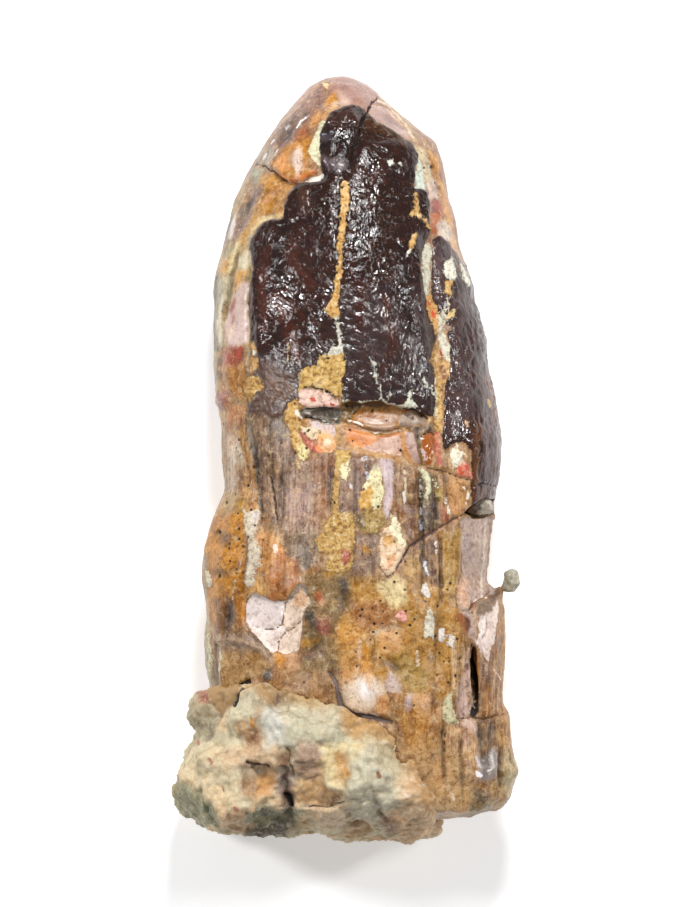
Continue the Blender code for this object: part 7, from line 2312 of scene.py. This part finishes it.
@dataclass
class Shard:
    """A small loose stone: the chip in the notch, or the crumb by the splinter."""

    node: str
    name: str
    colours: tuple[str, str]
    finish: StoneFinish
    voxel: float = 0.12
    passes: int = 6
    triangles: int = 30000
    cloud_size: float = 1.4
    rough_size: float = 0.9
    rough: float = 0.12
    spur: tuple[Any, ...] = ()
    seed: int = 3

    def carve_and_paint(self, obj: bpy.types.Object) -> None:
        """Moves the vertices into relief and stores the colours.

        Args:
            obj: The shard's even mesh.
        """
        spots, normals = vertex_places(obj), vertex_normals(obj)
        noise = Noise(self.seed)
        share = ease(noise.layered(spots / self.cloud_size, 3), -0.4, 0.4)[:, None]
        low, high = (flat_paint(code, 0.4) for code in self.colours)
        lift = self.rough * noise.layered(spots / self.rough_size, 3)
        spots += normals * lift[:, None]
        if self.spur:
            spots = drawn_out(spots, *self.spur)
        move_vertices(obj, spots)
        blank_paint, nowhere = np.zeros((len(spots), 4)), np.full(len(spots), -FAR)
        keep_colours(obj, ground=low + share * (high - low), fleck=blank_paint,
                     crack=blank_paint)
        keep_numbers(obj, fleck_edge=nowhere, crack_edge=nowhere)

    def build(self) -> bpy.types.Object:
        """Makes the shard and puts it in place of its CAD solid.

        Returns:
            The finished piece.
        """
        blank = Blank(self.node, self.name, self.voxel, self.passes, self.triangles)
        obj = blank.make()
        self.carve_and_paint(obj)
        blank.thin(obj)
        dress(obj, self.finish.make())
        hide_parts(self.node)
        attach(obj, "root")
        return obj


# ------------------------------------------------------------------ studio
@dataclass(frozen=True)
class Lamp:
    """One soft light: its size and distance in metres, and its power in watts."""

    name: str
    aim_from: tuple[float, float, float]
    distance: float
    size: float
    power: float
    colour: str = "ffffff"


@dataclass
class Studio:
    """Pale floor, soft lights and the camera straight above."""

    floor_size: float = 3.0
    floor_colour: str = "fdfdfd"
    camera_height: float = 0.9
    focus_level: float = 0.014
    view_width: float = 0.09625
    sensor: float = 36.0
    aim: tuple[float, float] = (0.00062, 0.00076)
    world_colour: str = "f3f4f8"
    world_strength: float = 0.33
    floor_glow: float = 0.3
    lamps: tuple[Lamp, ...] = (
        Lamp("top window", (0.1, 0.85, 1.0), 0.6, 0.10, 2.2),
        Lamp("left window", (-0.8, 0.3, 0.9), 0.6, 0.08, 1.5),
        Lamp("right window", (0.9, 0.3, 0.9), 0.6, 0.09, 1.2),
    )

    def lay_floor(self) -> bpy.types.Object:
        """Lays the floor under the tooth.

        Returns:
            The floor.
        """
        bpy.ops.object.select_all(action="DESELECT")
        bpy.ops.mesh.primitive_plane_add(size=self.floor_size, location=(0.0, 0.0, 0.0))
        floor = bpy.context.active_object
        floor.name = "floor"
        paper = bpy.data.materials.new("matt white paper")
        paper.use_nodes = True
        shader = paper.node_tree.nodes["Principled BSDF"]
        shader.inputs["Base Color"].default_value = rgba(self.floor_colour)
        shader.inputs["Roughness"].default_value = 0.9
        # a light table: the paper glows a little, so the shadows on it stay faint
        shader.inputs["Emission Color"].default_value = rgba(self.floor_colour)
        shader.inputs["Emission Strength"].default_value = self.floor_glow
        floor.data.materials.append(paper)
        return floor

    def hang_lamps(self) -> None:
        """Hangs each lamp and turns it to the tooth."""
        for lamp in self.lamps:
            way = Vector(lamp.aim_from).normalized()
            light = bpy.data.lights.new(lamp.name, "AREA")
            light.shape = "DISK"
            light.size = lamp.size
            light.energy = lamp.power
            light.color = to_linear(lamp.colour)
            obj = bpy.data.objects.new(lamp.name, light)
            obj.location = way * lamp.distance
            obj.rotation_euler = way.to_track_quat("Z", "Y").to_euler()
            bpy.context.scene.collection.objects.link(obj)

    def light_world(self) -> None:
        """Gives the room its even light, shown as it falls."""
        world = bpy.data.worlds.new("white room")
        world.use_nodes = True
        back = world.node_tree.nodes["Background"]
        back.inputs["Color"].default_value = rgba(self.world_colour)
        back.inputs["Strength"].default_value = self.world_strength
        bpy.context.scene.world = world
        bpy.context.scene.view_settings.view_transform = "Standard"

    def set_camera(self) -> None:
        """Sets the camera straight above, with the tip towards the picture's top."""
        camera = bpy.data.cameras.new("overhead")
        camera.sensor_fit = "HORIZONTAL"
        camera.sensor_width = self.sensor
        camera.lens = self.sensor * (self.camera_height - self.focus_level) / self.view_width
        camera.clip_start = 0.01
        obj = bpy.data.objects.new("overhead", camera)
        obj.location = (*self.aim, self.camera_height)
        bpy.context.scene.collection.objects.link(obj)
        bpy.context.scene.camera = obj

    def build(self) -> None:
        """Sets up the floor, the room, the lamps and the camera."""
        self.lay_floor()
        self.light_world()
        self.hang_lamps()
        self.set_camera()


def main() -> None:
    """Builds the pieces and the studio in order."""
    logging.basicConfig(level=logging.INFO, format="%(message)s")
    makers: tuple[Any, ...] = (
        Tooth(), Mudstone(),
        Shard("notch_chip", "notch_chip_surface", ("8f8578", "c4b8a8"),
              StoneFinish("mudstone chip, loose in the notch", grain_mm=0.4,
                          grain_height=0.05, clod_height=0.05)),
        Shard("crumb", "crumb_surface", ("8d8a76", "b3ae9a"),
              StoneFinish("mudstone crumb", grain_mm=0.4, grain_height=0.05,
                          clod_height=0.06),
              spur=((22.1, -17.7, 15.8), (21.4, -17.9, 15.9), 1.3), seed=9),
    )
    for maker in makers:
        piece = maker.build()
        LOG.info("%s: %d triangles, material %s", piece.name, triangle_count(piece),
                 piece.data.materials[0].name)
    Studio().build()
    LOG.info("view transform %s", bpy.context.scene.view_settings.view_transform)


if __name__ == "__main__":
    main()
